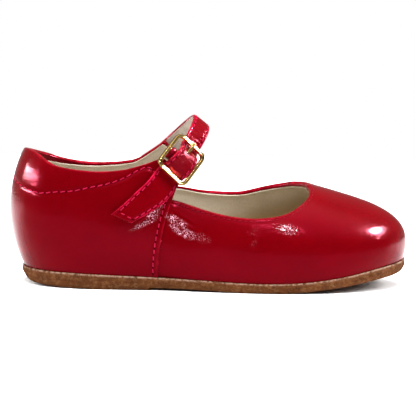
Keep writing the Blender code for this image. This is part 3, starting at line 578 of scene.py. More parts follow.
def flexed(points):
    """How much the leather is crinkled by its listed zones; 1 is a full crinkle."""
    total = np.zeros(points.shape[:-1])
    for side, x, z, along, across, slant, strength in FLEX_ZONES:
        c, s = math.cos(math.radians(slant)), math.sin(math.radians(slant))
        dx, dz = points[..., 0] - x, points[..., 2] - z
        far = np.hypot((dx * c + dz * s) / along, (dz * c - dx * s) / across)
        total += strength * (1 - smooth_step(far - 0.25)) * (points[..., 1] * side > 2)
    return np.clip(total, 0, MOST_FLEX)


def from_line(points, line):
    """How far points (x, z) lie from a line of straight runs, and the share run along it."""
    line = np.array(line, float)
    nearest = np.full(points.shape[:-1], 1e9)
    share = np.zeros(points.shape[:-1])
    for k, (a, b) in enumerate(zip(line[:-1], line[1:])):
        t = np.clip(((points - a) @ (b - a)) / ((b - a) @ (b - a)), 0, 1)
        far = np.linalg.norm(points - (a + t[..., None] * (b - a)), axis=-1)
        share = np.where(far < nearest, (k + t) / (len(line) - 1), share)
        nearest = np.minimum(nearest, far)
    return nearest, share


def bent_line(points):
    """The same line (x, z) with its corners rounded off."""
    return open_spline([(x, 0.0, z) for x, z in points], 17)[:, ::2]


RIDGE, RIDGE_OUT = 0.35, 1.6     # beside a crease: its height and place, as shares


def creased(points):
    """Height in mm that the listed creases add: a trough with a low ridge beside it."""
    height = np.zeros(points.shape[:-1])
    for side, line, width, depth in CREASES:
        far, share = from_line(points[..., ::2], bent_line(line))
        fade = np.sin(np.pi * np.clip(share, 0.0, 1.0)) ** 0.8 * (points[..., 1] * side > 4)
        height += fade * depth * (RIDGE * np.exp(-((far - RIDGE_OUT * width) / width) ** 2)
                                  - np.exp(-(far / width) ** 2))
    return height


def sewn(distance, width=0.75, depth=0.16):
    """The soft trough that a row of stitches pulls into the leather."""
    return -depth * np.exp(-(distance / width) ** 2)


def uneven(points, size=11.0, height=0.05):
    """A faint slow waviness, as a lasted leather has."""
    flat = (points / size).reshape(-1, 3)
    wave = np.array([noise.noise(Vector(p)) + 0.4 * noise.noise(Vector(p * 2.3 + 7.0))
                     for p in flat])
    return height * wave.reshape(points.shape[:-1])


CRINKLES = ((0.24, 1.1), (0.12, 2.1))      # height in mm, and about how many to a mm


def crinkled(points):
    """Fine crinkles, in mm, in the zones where the leather bends."""
    deep = flexed(points)
    made = np.zeros(deep.shape)
    for index in zip(*np.nonzero(deep > 0.02)):
        p = Vector(points[index])
        made[index] = deep[index] * sum(high * noise.noise(p * fine) for high, fine in CRINKLES)
    return made


# %% [markdown]
# ## The quarter
#
# The quarter is one piece of leather 1.2 mm thick from wing to wing round the heel. Its
# top edge is folded over the lining, so at the edge it is as thick as the whole wall, and
# behind the heel the fold is wider: it shows as a red band inside the shoe. Its front
# edges lie on the vamp as a step. It could be a box-modelled surface with a Solidify
# modifier, but then the seams and the fold would have to be found again on that surface.

# %% The fold at the top edge
LEATHER, WALL = 1.2, 2.2             # thickness of the leather, and of the wall with its lining
FOLD_PROUD, FOLD_END = 0.12, 0.35    # the fold stands over the lining, and ends in this run
FACING_WIDTHS = ((-70.0, 3.6), (-63.0, 2.7), (-58.0, 2.0), (-52.0, 1.45), (-46.0, 1.15),
                 (-38.0, 0.9), (-20.0, 0.8))       # along the shoe, and down inside it


def facing_width(u):
    """How far the red fold shows inside the collar, in mm."""
    along, wide = np.array(FACING_WIDTHS).T
    return np.interp(last_point(u, collar_share(u))[:, 0], along, wide)


def folded_thickness(below, wide):
    """Thickness at a distance below the top edge, where the fold is so wide."""
    fold = 1 - smooth_step((below - wide) / FOLD_END)
    return LEATHER + (WALL + FOLD_PROUD - LEATHER) * fold


# %% The quarter's relief
OUT_OF_REACH = 20.0                  # mm, further than any trough reaches
BULGE, BULGE_DOWN, BULGE_REACH = 0.10, 4.5, 5.5    # the soft roll between collar and seam

facing_v = share_at_height(quarter_u, through(FACING_ROWS_BY_PLACE, quarter_u))
to_facing = np.linalg.norm(quarter_face - last_point(quarter_u, facing_v)[None], axis=-1)
beyond_row = (quarter_u > FACING_ROWS_BY_PLACE[-1][0]) | (quarter_u < FACING_ROWS_BY_PLACE[0][0])
to_facing = to_facing + OUT_OF_REACH * beyond_row
bulge = BULGE * smooth_step(1 - np.abs(quarter_below - BULGE_DOWN) / BULGE_REACH)
quarter_relief = (creased(quarter_face) + uneven(quarter_face) + crinkled(quarter_face)
                  + sewn(to_facing) + sewn(quarter_side - FRONT_SEAM_IN)
                  + bulge * (to_facing > 1.0))

# %% The quarter's leather
TUCK = 0.25                          # leather runs on below the feather edge, into the sole
FRONT_THICK, FRONT_REACH = 1.6, 3.0  # beside its front edges the fold is no thicker than this
TOP_ROUND, FRONT_ROUND = 0.6, 0.55   # how far in from its edges the leather is rounded


def tuck_under(front, back, round_off):
    """Run a sheet on a little below the feather edge, and keep it open there."""
    for face in (front, back):
        face[0, :, 2] -= TUCK
    round_off[0] = np.maximum(round_off[0], 1e-3)


quarter_thick = folded_thickness(quarter_below, facing_width(quarter_u) + 1.0)
quarter_thick = np.where(quarter_side < FRONT_REACH, np.minimum(quarter_thick, FRONT_THICK),
                         quarter_thick)
quarter_front = quarter_point(quarter_uu, quarter_v, quarter_relief)
quarter_back = quarter_point(quarter_uu, quarter_v, -quarter_thick)
quarter_round = rounding(quarter_below, TOP_ROUND) * rounding(quarter_side, FRONT_ROUND)
tuck_under(quarter_front, quarter_back, quarter_round)
quarter = sheet("quarter_leather", quarter_front, quarter_back, quarter_round, red_patent,
                {"edge": np.minimum(quarter_below, quarter_side), "flex": flexed(quarter_face)})
print("quarter:", len(quarter.data.polygons), "faces")

# %% [markdown]
# ## The vamp
#
# The vamp is pulled over the toes without a seam. Beside the quarter's front edges it
# lies lower, and it runs on a little under them. Its throat edge is folded in and sewn
# close to the edge, which leaves a smooth round lip. It could be the front of the
# quarter's sheet, but the step where one lies on the other is what shows a real seam.

# %% The vamp's leather
OVERLAY, SINK_REACH = 0.75, 14.0     # the quarter stands so far above it, over such a run
UNDER = 0.013                        # how far the vamp runs on under the quarter, as u
THROAT_FOLD, LEAST_THICK = 0.9, 0.8  # width of its fold, and thickness where it is sunk


def sink(points, outer_edge, inner_edge):
    """How far the vamp lies below the last: most under the quarter, whose edges are at x."""
    from_quarter = points[..., 0] - np.where(points[..., 1] < 0, outer_edge, inner_edge)
    return OVERLAY * (1 - smooth_step(np.maximum(from_quarter, 0) / SINK_REACH))


vamp_u = np.linspace(WING_FRONT_OUT - UNDER, WING_FRONT_IN + UNDER, 430)
vamp_v, vamp_below = rows_below(vamp_u, throat_share(vamp_u), 74)
vamp_uu = np.broadcast_to(vamp_u, vamp_v.shape)
vamp_face = last_point(vamp_uu, vamp_v)
outer_edge = last_point(WING_FRONT_OUT, vamp_v[:, 5])[:, 0]
inner_edge = last_point(WING_FRONT_IN, vamp_v[:, -6])[:, 0]
vamp_sink = sink(vamp_face, outer_edge[:, None], inner_edge[:, None])
vamp_relief = (creased(vamp_face) + uneven(vamp_face) + crinkled(vamp_face)
               + sewn(vamp_below - THROAT_SEAM_IN, 0.6, 0.10))
vamp_thick = folded_thickness(vamp_below, THROAT_FOLD)
vamp_depth = np.maximum(vamp_thick, vamp_sink + LEAST_THICK)
vamp_front, _ = off_the_last(vamp_uu, vamp_v, vamp_relief - vamp_sink, lifted=False)
vamp_back, _ = off_the_last(vamp_uu, vamp_v, -vamp_depth, lifted=False)
vamp_round = rounding(vamp_below, vamp_thick / 2)
tuck_under(vamp_front, vamp_back, vamp_round)
vamp = sheet("vamp_leather", vamp_front, vamp_back, vamp_round, red_patent,
             {"edge": vamp_below, "flex": flexed(vamp_face)})
print("vamp:", len(vamp.data.polygons), "faces")

# %% [markdown]
# ## The lining
#
# The lining is soft cream leather, glued inside the upper. It ends just under the folded
# edge. It could be the back of the same sheet with another colour, but a piece of its own
# gives the small step that a real lining has below the fold.

# %% Quarter and vamp lining
LINING_FRONT, OVER_FOLD = 1.25, 0.3  # off the last inwards, and more where it covers the fold
WRINKLE_SIZE, WRINKLE = 7.0, 0.10    # how wide and how high its soft wrinkles are
VAMP_SHOW = 0.8                      # how much of the throat's fold shows inside


def share_below(u, top, mm):
    """The share up each rib that lies mm below its top edge."""
    shares, run = up_the_ribs(u, top)
    wanted = run[-1] - mm
    return np.array([np.interp(wanted[j], run[:, j], shares[:, j]) for j in range(len(u))])


def lining(name, u, top, show, lifted):
    """The lining sheet; its top edge lies on the fold, show mm below the leather's edge."""
    v, below = rows_below(u, share_below(u, top, show), 34)
    uu = np.broadcast_to(u, v.shape)
    wrinkle = uneven(last_point(uu, v), WRINKLE_SIZE, WRINKLE)
    over_fold = OVER_FOLD * (1 - smooth_step(below / 3.0))
    front, _ = off_the_last(uu, v, -LINING_FRONT, lifted)
    back, _ = off_the_last(uu, v, -WALL - over_fold + wrinkle, lifted)
    made = sheet(name, front, back, rounding(below, 0.35), cream_lining, {"edge": below})
    print(f"{name}: {len(made.data.polygons)} faces")


lining_u = np.linspace(WING_FRONT_IN, WING_FRONT_OUT + 1, 170)
lining("quarter_lining", lining_u, collar_share(lining_u), facing_width(lining_u), lifted=True)
lining_u = np.linspace(WING_FRONT_OUT - UNDER, WING_FRONT_IN + UNDER, 200)
lining("vamp_lining", lining_u, throat_share(lining_u), VAMP_SHOW, lifted=False)
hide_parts("upper")

# %% [markdown]
# ## Stitches
#
# A lockstitch shows as short slanting dashes of thread with a needle hole between them; the
# hole's darkness is painted shade on a small disc. A dashed texture would look flat where the
# light rakes over it, so each stitch is a small bent tube that dives into the leather at both ends.

# %% One stitch and one needle hole
THREAD = 0.21                                    # radius of the thread
STITCH_RINGS, THREAD_SIDES, HOLE_SIDES = 11, 7, 10
STANDS, DIVES, SLANTS, THINS = 0.62, 1.6, 0.10, 0.25     # its middle, and then its ends
HOLE_RINGS = ((0.24, 0.045), (0.36, -0.05))      # radius, and height over the leather


def sweep_faces(rings, corners, closed=False, base=0):
    """Faces of a tube of rings: it runs back into itself, or it has a cap at each end."""
    faces = []
    for i in range(rings if closed else rings - 1):
        here, far = base + i * corners, base + (i + 1) % rings * corners
        for j in range(corners):
            k = (j + 1) % corners
            faces.append((here + j, here + k, far + k, far + j))
    if not closed:
        last = base + (rings - 1) * corners
        faces.append(tuple(base + j for j in reversed(range(corners))))
        faces.append(tuple(last + j for j in range(corners)))
    return faces


def stitch_points(at, first, last, thick):
    """Rings of one stitch between two distances; at gives a place and the way out there."""
    way = unit(at(last)[0] - at(first)[0])
    points = []
    for b in np.linspace(-1, 1, STITCH_RINGS):
        place, out = at((first + last) / 2 + b * (last - first) / 2)
        side = unit(np.cross(out, way))
        height = thick * (STANDS - DIVES * abs(b) ** 4)
        centre = place + out * height + side * SLANTS * b
        thin = thick * (1 - THINS * b**4)
        points += [centre + thin * (math.cos(a) * side + math.sin(a) * out)
                   for a in np.arange(THREAD_SIDES) * math.tau / THREAD_SIDES]
    return points


def hole_points(at, distance):
    """A needle hole's middle, and the two rings round it, drawn out a little lengthwise."""
    place, out = at(distance)
    way = unit(at(distance + 0.2)[0] - at(distance - 0.2)[0])
    side = unit(np.cross(out, way))
    points = [place + out * 0.05]
    for ring, height in HOLE_RINGS:
        points += [place + out * height + ring * (1.15 * math.cos(a) * way + math.sin(a) * side)
                   for a in np.arange(HOLE_SIDES) * math.tau / HOLE_SIDES]
    return points


def hole_faces(base):
    inner, outer, faces = base + 1, base + 1 + HOLE_SIDES, []
    for j in range(HOLE_SIDES):
        k = (j + 1) % HOLE_SIDES
        faces += [(base, inner + j, inner + k), (inner + j, outer + j, outer + k, inner + k)]
    return faces


# %% The sewing helper
def sew(name, line, normals, pitch=2.75, thread=red_thread, thick=THREAD, gap=0.72, holes=True):
    """A row of stitches, and the needle holes between them, along a line on the leather."""
    run = run_length(line)
    count = max(1, int(round(run[-1] / pitch)))
    pitch = run[-1] / count

    def at(distance):
        place = np.array([np.interp(distance, run, column) for column in line.T])
        return place, unit([np.interp(distance, run, column) for column in normals.T])

    points, faces = [], []
    for k in range(count):
        faces += sweep_faces(STITCH_RINGS, THREAD_SIDES, base=len(points))
        points += stitch_points(at, k * pitch + gap / 2, (k + 1) * pitch - gap / 2, thick)
    mesh_from(name, points, faces, thread)
    if holes:
        points, faces = [], []
        for k in range(count + 1):
            faces += hole_faces(len(points))
            points += hole_points(at, k * pitch)
        mesh_from(name + "_holes", points, faces, needle_hole_shade)
    print(f"{name}: {count} stitches of {pitch:.2f} mm")


def sew_leather(name, u, v, points, sunk, lifted=True, **thread):
    """A row on the quarter or the vamp, sunk into the relief that the leather has there."""
    relief = creased(points) + uneven(points) - sunk
    sew(name, *off_the_last(u, v, relief, lifted), **thread)


# %% Rows on the quarter and the vamp
STITCH_SUNK, THROAT_SUNK = 0.16, 0.12    # how far the thread lies below the smooth leather
FACING_MARGIN = 1.3                      # the row stays this far below the collar's edge

row_u = np.linspace(FACING_ROWS_BY_PLACE[0][0], FACING_ROWS_BY_PLACE[-1][0], 420)
row_v = np.minimum(share_at_height(row_u, through(FACING_ROWS_BY_PLACE, row_u)),
                   share_below(row_u, collar_share(row_u), FACING_MARGIN))
sew_leather("collar_facing_stitches", row_u, row_v, last_point(row_u, row_v), STITCH_SUNK)

for side_name, edge_u, sign in (("outer", WING_FRONT_OUT + 1, -1), ("inner", WING_FRONT_IN, 1)):
    seam_v = np.linspace(0.03, 0.93 * float(collar_share(np.array([edge_u]))[0]), 160)
    mm_per_u = np.linalg.norm(last_point(edge_u + 1e-3, seam_v) - last_point(edge_u, seam_v),
                              axis=-1) / 1e-3
    seam_u = edge_u + sign * FRONT_SEAM_IN / mm_per_u
    sew_leather(f"{side_name}_front_seam", seam_u, seam_v, quarter_point(seam_u, seam_v),
                STITCH_SUNK, pitch=2.5)

seam_u = np.linspace(WING_FRONT_OUT + 0.004, WING_FRONT_IN - 0.004, 420)
seam_v = share_below(seam_u, throat_share(seam_u), THROAT_SEAM_IN)
seam_points = last_point(seam_u, seam_v)
seam_sunk = THROAT_SUNK + sink(seam_points, outer_edge[-20], inner_edge[-20])
sew_leather("throat_stitches", seam_u, seam_v, seam_points, seam_sunk, lifted=False,
            pitch=2.0, thread=throat_thread, thick=0.13, gap=0.6, holes=False)

# %% [markdown]
# ## The strap
#
# The strap is two layers of leather sewn together along both edges. From its free end on
# the outer quarter it climbs over the buckle's centre bar, dips under the front bar,
# crosses the instep and comes down on the inner wing, where it is sewn on. It could be a
# flat strip bent by a Curve modifier, but a strip has one width, and it has to dip under
# the bar by hand. So its middle line is a smooth curve through listed places, and each
# place has a width.

# %% The strap's run
STRAP_THICK, STRAP_LIES = 1.3, 0.3       # and how far it lies off the quarter's face
OUTER_TAIL = (      # x, z in side view, how far it is lifted, width
    (-31.2, 26.4, 0.0, 6.8), (-27.3, 29.2, 0.0, 7.9), (-23.0, 32.7, 0.05, 9.2),
    (-18.8, 36.4, 0.5, 10.0),
)
BUCKLE_RUN = (      # along, across and out of the buckle, width
    (-7.4, 0.5, -2.15, 10.2), (-5.6, 0.6, -1.4, 9.8), (-3.8, 0.6, 0.5, 9.4),
    (-2.0, 0.6, 1.9, 9.1), (-0.3, 0.5, 2.5, 8.8), (1.3, 0.5, 2.5, 8.5), (2.7, 0.5, 1.95, 8.3),
    (3.8, 0.6, 0.65, 8.1), (4.9, 0.6, -1.1, 7.9), (6.5, 0.6, -2.35, 7.6), (8.6, 0.6, -2.7, 7.4),
)
INSTEP_RUN = (      # x, y, z, width
    (-3.6, -8.4, 57.7, 7.3), (-3.0, -1.0, 60.4, 7.3), (-4.6, 6.6, 59.5, 7.4),
    (-8.0, 13.0, 56.0, 7.8),
)
INSTEP_ACROSS = (0.79, 0.0, -0.61)
INNER_TAIL = ((-14.4, 49.2, 0.0, 8.4), (-18.6, 45.0, 0.0, 8.8), (-22.8, 41.0, 0.0, 8.8),
              (-26.6, 37.6, 0.0, 8.4))


def tail_rows(side, tail):
    """Rows of the strap where it lies on one side of the quarter."""
    lie = STRAP_LIES + STRAP_THICK / 2
    placed = [on_quarter(x, z, side, lie + off) for x, z, off, _ in tail]
    run = unit(placed[-1][0] - placed[0][0])
    return [(*place, *unit(np.cross(run, normal)), row[-1])
            for (place, normal), row in zip(placed, tail)]


def strap_rows():
    """Rows of place (x, y, z), direction across (x, y, z) and width along the strap."""
    over_buckle = [(*at_buckle(a, c, o), *ACROSS, w) for a, c, o, w in BUCKLE_RUN]
    over_instep = [(x, y, z, *INSTEP_ACROSS, w) for x, y, z, w in INSTEP_RUN]
    return np.array(tail_rows(-1, OUTER_TAIL) + over_buckle + over_instep
                    + tail_rows(1, INNER_TAIL))


strap_path = open_spline(strap_rows(), 470)
strap_middle, strap_half = strap_path[:, :3], strap_path[:, 6] / 2
strap_way = unit(np.gradient(strap_middle, axis=0))
strap_across = unit(strap_path[:, 3:6]
                    - (strap_path[:, 3:6] * strap_way).sum(1, keepdims=True) * strap_way)
strap_out = unit(np.cross(strap_across, strap_way))
strap_run = run_length(strap_middle)
STRAP_LENGTH = strap_run[-1]
strap_past_bar = (strap_middle - BUCKLE_CENTRE) @ ALONG
print("strap:", round(float(STRAP_LENGTH), 1), "mm long")

# %% Points on the strap
END_SLANT, SLANT_REACH = 2.0, 12.0       # the free end is cut aslant
STRAP_SEAM_IN = 1.05                     # the seams lie this far inside the strap's edges
CLOSE_TO_EDGE = np.array((0, 0.03, 0.11, 0.24, 0.42, 0.65, 0.85, 1.05, 1.3, 1.6))
end_slant = END_SLANT * (1 - smooth_step(strap_run / SLANT_REACH))


def on_strap(step, across_mm, height):
    """Point on the strap: mm from its middle line, and height above its middle layer."""
    share = across_mm / strap_half[step]
    return (strap_middle[step] + strap_across[step] * across_mm[..., None]
            + strap_out[step] * np.asarray(height)[..., None]
            + strap_way[step] * (end_slant[step] * share)[..., None])


def strap_grid(inset=0.0, ends=0.0):
    """Steps along the strap and mm across it, drawn in from its edges and its ends."""
    steps = np.nonzero((strap_run >= ends) & (strap_run <= STRAP_LENGTH - ends))[0]
    half, near = strap_half[steps] - inset, CLOSE_TO_EDGE[:, None]
    between_edges = np.linspace(0, 1, 22)[1:-1, None]
    middle = -half + near[-1] + (2 * half - 2 * near[-1]) * between_edges
    across = np.concatenate([-half + near, middle, (half - near)[::-1]])
    return np.broadcast_to(steps, across.shape), across


# %% The strap's relief
HUMP_AT, HUMP_REACH = 1.0, 4.2           # past the centre bar, along the strap
CROWN_Y, CROWN_REACH = -4.0, 9.0         # where it bends over the top of the foot


def folds_over(y, across_mm):
    """Fine cross folds where the strap bends over the instep, as a sum of narrow ridges."""
    folds = np.zeros(across_mm.shape)
    for k, place in enumerate(np.arange(-14.0, 14.0, 1.15)):
        sway = 0.45 * math.sin(2.7 * k) + 0.30 * np.sin(across_mm * 0.7 + 1.9 * k)
        strength = 0.6 + 0.4 * math.sin(5.1 * k)
        folds = folds + strength * np.exp(-((y - CROWN_Y - place - sway) / 0.22) ** 2)
    return folds


strap_step, strap_mm = strap_grid()
strap_from_edge = strap_half[strap_step] - np.abs(strap_mm)
strap_place, strap_y = strap_run[strap_step], strap_middle[strap_step][..., 1]
wobble = np.array([noise.noise(Vector((s * 0.9, m * 0.25, 3.0)))
                   + 0.5 * noise.noise(Vector((s * 2.1, m * 0.5, 9.0)))
                   for s, m in zip(strap_place.ravel(), strap_mm.ravel())]).reshape(strap_mm.shape)
over_hump = np.exp(-((strap_past_bar[strap_step] - HUMP_AT) / HUMP_REACH) ** 2)
over_crown = np.exp(-((strap_y - CROWN_Y) / CROWN_REACH) ** 2) * (1 - over_hump)
inside_seams = smooth_step(strap_from_edge / 1.2)
strap_relief = (0.12 * (1 - (strap_mm / strap_half[strap_step]) ** 2)
                - 0.10 * folds_over(strap_y, strap_mm) * over_crown * inside_seams
                + sewn(strap_from_edge - STRAP_SEAM_IN, 0.42, 0.16)
                + wobble * (0.05 + 0.12 * over_hump + 0.13 * over_crown) * inside_seams)

# %% The strap's leather
SLOT_FROM, SLOT_TO, SLOT_SIDE, SLOT_HALF = 1.9, 5.0, 0.5, 0.95     # the prong's hole
STRAP_ROUND = 0.6


def cell_middles(values):
    return (values[:-1, :-1] + values[1:, 1:]) / 2


from_ends = np.minimum(strap_place, STRAP_LENGTH - strap_place)
strap_front = on_strap(strap_step, strap_mm, STRAP_THICK / 2 + strap_relief)
strap_back = on_strap(strap_step, strap_mm, -STRAP_THICK / 2)
strap_round = rounding(strap_from_edge, STRAP_ROUND) * rounding(from_ends, STRAP_ROUND)
cell_along, cell_mm = cell_middles(strap_past_bar[strap_step]), cell_middles(strap_mm)
near_buckle = (np.linalg.norm(strap_middle - BUCKLE_CENTRE, axis=1) < 12)[strap_step][:-1, :-1]
strap_hole = ((cell_along > SLOT_FROM) & (cell_along < SLOT_TO) & near_buckle
              & (np.abs(cell_mm + SLOT_SIDE) < SLOT_HALF))
strap_flex = np.clip(0.04 + over_hump + 0.15 * over_crown, 0, 1)
strap = sheet("strap_leather", strap_front, strap_back, strap_round, strap_patent,
              {"edge": strap_from_edge, "flex": strap_flex}, strap_hole)
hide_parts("strap")

# %% The strap's backing
BACKING_INSET, BACKING_ENDS = 0.55, 0.8  # short of the strap's edges, and of its ends
BACKING_IN, BACKING_OUT = 0.1, 0.16      # into the strap's leather, and below it
BACKING_ROUND = 0.13

backing_step, backing_mm = strap_grid(BACKING_INSET, BACKING_ENDS)
backing_edge = strap_half[backing_step] - BACKING_INSET - np.abs(backing_mm)
backing_run = strap_run[backing_step]
backing_end = np.minimum(backing_run, STRAP_LENGTH - backing_run) - BACKING_ENDS
backing_round = rounding(backing_edge, BACKING_ROUND) * rounding(backing_end, BACKING_ROUND)
strap_lining = sheet("strap_lining",
                     on_strap(backing_step, backing_mm, -STRAP_THICK / 2 + BACKING_IN),
                     on_strap(backing_step, backing_mm, -STRAP_THICK / 2 - BACKING_OUT),
                     backing_round, strap_backing, {"edge": backing_edge},
                     strap_hole[:, backing_step[0, 0]:backing_step[0, -1]])

# %% The strap's seams
SEAM_STARTS, SEAM_STOPS = 2.4, STRAP_LENGTH - 1.5            # the two long seams
FREE_END_SEAM, SEWN_END_SEAM = 2.2, STRAP_LENGTH - 1.6       # the two short ones across

for name, side in (("strap_back_seam", -1), ("strap_front_seam", 1)):
    picked = np.nonzero((strap_run > SEAM_STARTS) & (strap_run < SEAM_STOPS))[0]
    line = on_strap(picked, side * (strap_half[picked] - STRAP_SEAM_IN), STRAP_THICK / 2 - 0.12)
    sew(name, line, strap_out[picked], pitch=2.6)

for name, place in (("strap_free_end_seam", FREE_END_SEAM), ("strap_sewn_end_seam", SEWN_END_SEAM)):
    picked = np.full(30, np.abs(strap_run - place).argmin())
    mm = np.linspace(-1, 1, 30) * (strap_half[picked] - STRAP_SEAM_IN - 0.3)
    sew(name, on_strap(picked, mm, STRAP_THICK / 2 - 0.05), strap_out[picked], pitch=2.2)
# %% [markdown]
# ## The buckle
#
# The frame is cast brass, polished and gilt: a rounded rectangle of bar with a softly
# squared section and a shallow groove along its face, and a round centre bar. A curve
# with a bevel object could give it, but it pinches the section in tight corners, so the
# section is swept along the path by a few lines of our own. The prong is a flat wire
# hooked round the centre bar. It comes up through the tab and the strap and rests on the
# front bar.

# %% A section and a path for the frame
FRAME_LENGTH, FRAME_WIDTH, FRAME_CORNER = 15.8, 14.2, 3.0
FRAME_BAR, FRAME_DEPTH, BAR_RADIUS, BAR_DROP = 1.5, 2.0, 0.6, 0.3
GROOVE_DEPTH, GROOVE_HALF = 0.17, 0.24
FRAME_SIDES, BAR_SIDES, CORNER_POINTS = 40, 20, 15
FRAME_STEP = 1.2                         # mm between points on the straight bars


def soft_square(width, depth, corners, power):
    """Corners of a section between a circle (power 2) and a square (a high power)."""
    angles = np.arange(corners) * math.tau / corners
    c, s = np.cos(angles), np.sin(angles)
    return np.stack([width / 2 * np.sign(c) * np.abs(c) ** (2 / power),
                     depth / 2 * np.sign(s) * np.abs(s) ** (2 / power)], 1)


def frame_path(half_long, half_wide, corner):
    """Rows of along, across and the direction out of a rectangle with round corners."""
    turned = []
    for quadrant in range(4):
        middle = math.radians(45 + 90 * quadrant)
        along = math.copysign(half_long - corner, math.cos(middle))
        across = math.copysign(half_wide - corner, math.sin(middle))
        for a in np.radians(90 * quadrant + np.linspace(0, 90, CORNER_POINTS)):
            turned.append((along + corner * math.cos(a), across + corner * math.sin(a),
                           math.cos(a), math.sin(a)))
    path = []
    for here, ahead in zip(turned, turned[1:] + turned[:1]):
        far = math.hypot(ahead[0] - here[0], ahead[1] - here[1])
        parts = max(1, int(far / FRAME_STEP))
        path += [[a + (b - a) * k / parts for a, b in zip(here, ahead)] for k in range(parts)]
    return path


# %% Frame and centre bar
half_long, half_wide = (FRAME_LENGTH - FRAME_BAR) / 2, (FRAME_WIDTH - FRAME_BAR) / 2
path = frame_path(half_long, half_wide, FRAME_CORNER - FRAME_BAR / 2)
section = soft_square(FRAME_BAR, FRAME_DEPTH, FRAME_SIDES, 2.9)
groove = GROOVE_DEPTH * np.exp(-(section[:, 0] / GROOVE_HALF) ** 2)
section[:, 1] -= np.where(section[:, 1] > 0, groove, 0)
buckle_points = [at_buckle(a + out_a * w, c + out_c * w, d)
                 for a, c, out_a, out_c in path for w, d in section]
buckle_faces = sweep_faces(len(path), FRAME_SIDES, closed=True)
bar_path = np.linspace(-half_wide, half_wide, 16)
buckle_faces += sweep_faces(len(bar_path), BAR_SIDES, base=len(buckle_points))
buckle_points += [at_buckle(w, across, d - BAR_DROP) for across in bar_path
                  for w, d in soft_square(2 * BAR_RADIUS, 2 * BAR_RADIUS, BAR_SIDES, 2)]
buckle = mesh_from("buckle_frame_gilt", buckle_points, buckle_faces, gilt)
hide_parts("buckle_frame")

# %% Prong
PRONG_WIDTH, PRONG_THICK, PRONG_SIDES = 1.1, 0.9, 16
TIP_ROUND, TIP_THINNER, TIP_REACH = 0.55, 0.22, 1.6
PRONG_RUN = ((1.6, 1.1), (3.4, 1.2), (5.2, 1.63), (7.15, 1.75), (8.05, 1.65))
TAB_HOLE = BAR_RADIUS + 0.3              # prong and tab go round the bar at this radius


def round_bar(radius, degrees):
    """Points (along, out) round the centre bar."""
    return [(radius * math.cos(a), radius * math.sin(a) - BAR_DROP) for a in np.radians(degrees)]


hooked = round_bar(TAB_HOLE + PRONG_THICK / 2, np.linspace(-25, -270, 14))
prong_line = open_spline([(a, 0.0, o) for a, o in hooked + list(PRONG_RUN)], 70)[:, ::2]
prong_way = unit(np.gradient(prong_line, axis=0))
prong_left = run_length(prong_line)[-1] - run_length(prong_line)
prong_size = (np.maximum(0.08, rounding(prong_left, TIP_ROUND))
              * (1 - TIP_THINNER * np.exp(-prong_left / TIP_REACH)))
prong_points = [at_buckle(a - way_out * d, w, o + way_along * d)
                for (a, o), (way_along, way_out), size in zip(prong_line, prong_way, prong_size)
                for w, d in soft_square(PRONG_WIDTH * size, PRONG_THICK * size, PRONG_SIDES, 2.6)]
prong = mesh_from("buckle_prong_gilt", prong_points, sweep_faces(len(prong_line), PRONG_SIDES), gilt)
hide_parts("buckle_prong")
print("buckle:", len(buckle.data.polygons) + len(prong.data.polygons), "faces")

# %% [markdown]
# ## The tab
#
# A short loop of the same patent leather holds the buckle to the wing: it goes round the
# centre bar and back under itself. It has a slot in its middle, where the prong's hook
# sits on the bar. It is one more sheet: its rows go round the bar, and its columns across.

# %% The tab's leather
TAB_WIDTH, TAB_THICK, TAB_TURNS, TAB_ROUND = 10.6, 0.8, 60, 0.4
TAB_EVEN = 4.3                           # its columns are even as far out as this
TAB_TAIL_OUTER = [(-1.75, -1.0), (-2.05, -1.7), (-2.2, -2.6), (-2.2, -3.5)]      # along, out
TAB_TAIL_INNER = [(-1.0, -0.85), (-1.15, -1.7), (-1.3, -2.6), (-1.3, -3.5)]

tab_outer = round_bar(TAB_HOLE + TAB_THICK, np.linspace(-140, 140, TAB_TURNS)) + TAB_TAIL_OUTER
tab_inner = round_bar(TAB_HOLE, np.linspace(-158, 140, TAB_TURNS)) + TAB_TAIL_INNER
tab_near = TAB_WIDTH / 2 - CLOSE_TO_EDGE[:7]
tab_across = np.concatenate([-tab_near, np.linspace(-TAB_EVEN, TAB_EVEN, 44), tab_near[::-1]])
tab_front = np.array([[at_buckle(a, c, o) for c in tab_across] for a, o in tab_outer[::-1]])
tab_back = np.array([[at_buckle(a, c, o) for c in tab_across] for a, o in tab_inner[::-1]])
tab_shape = tab_front.shape[:2]
tab_edge = np.broadcast_to(TAB_WIDTH / 2 - np.abs(tab_across), tab_shape)
tab_cell = np.arange(len(tab_outer) - 1)[::-1, None]
tab_slot = ((np.abs((tab_across[:-1] + tab_across[1:]) / 2) < SLOT_HALF)
            & (tab_cell > 1) & (tab_cell < TAB_TURNS + 1))
tab = sheet("buckle_tab_leather", tab_front, tab_back, rounding(tab_edge, TAB_ROUND),
            strap_patent, {"edge": tab_edge, "flex": np.full(tab_shape, 0.3)}, tab_slot)
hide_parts("buckle_tab")
print("tab:", len(tab.data.polygons), "faces")

# %% [markdown]
# ## The crepe sole
#
# Crepe rubber is milled in crinkled sheets, so its edge is layered and a little ragged.
# The sole is a run of cross-sections from heel to toe, closer together at the round
# ends, with the low heel's front face as one step. The raggedness is real relief here,
# because it shows in the sole's outline. A Displace modifier would roughen the whole sole
# alike, so the crumbs are weighted in the mesh: strong on the edge, weak on the tread.

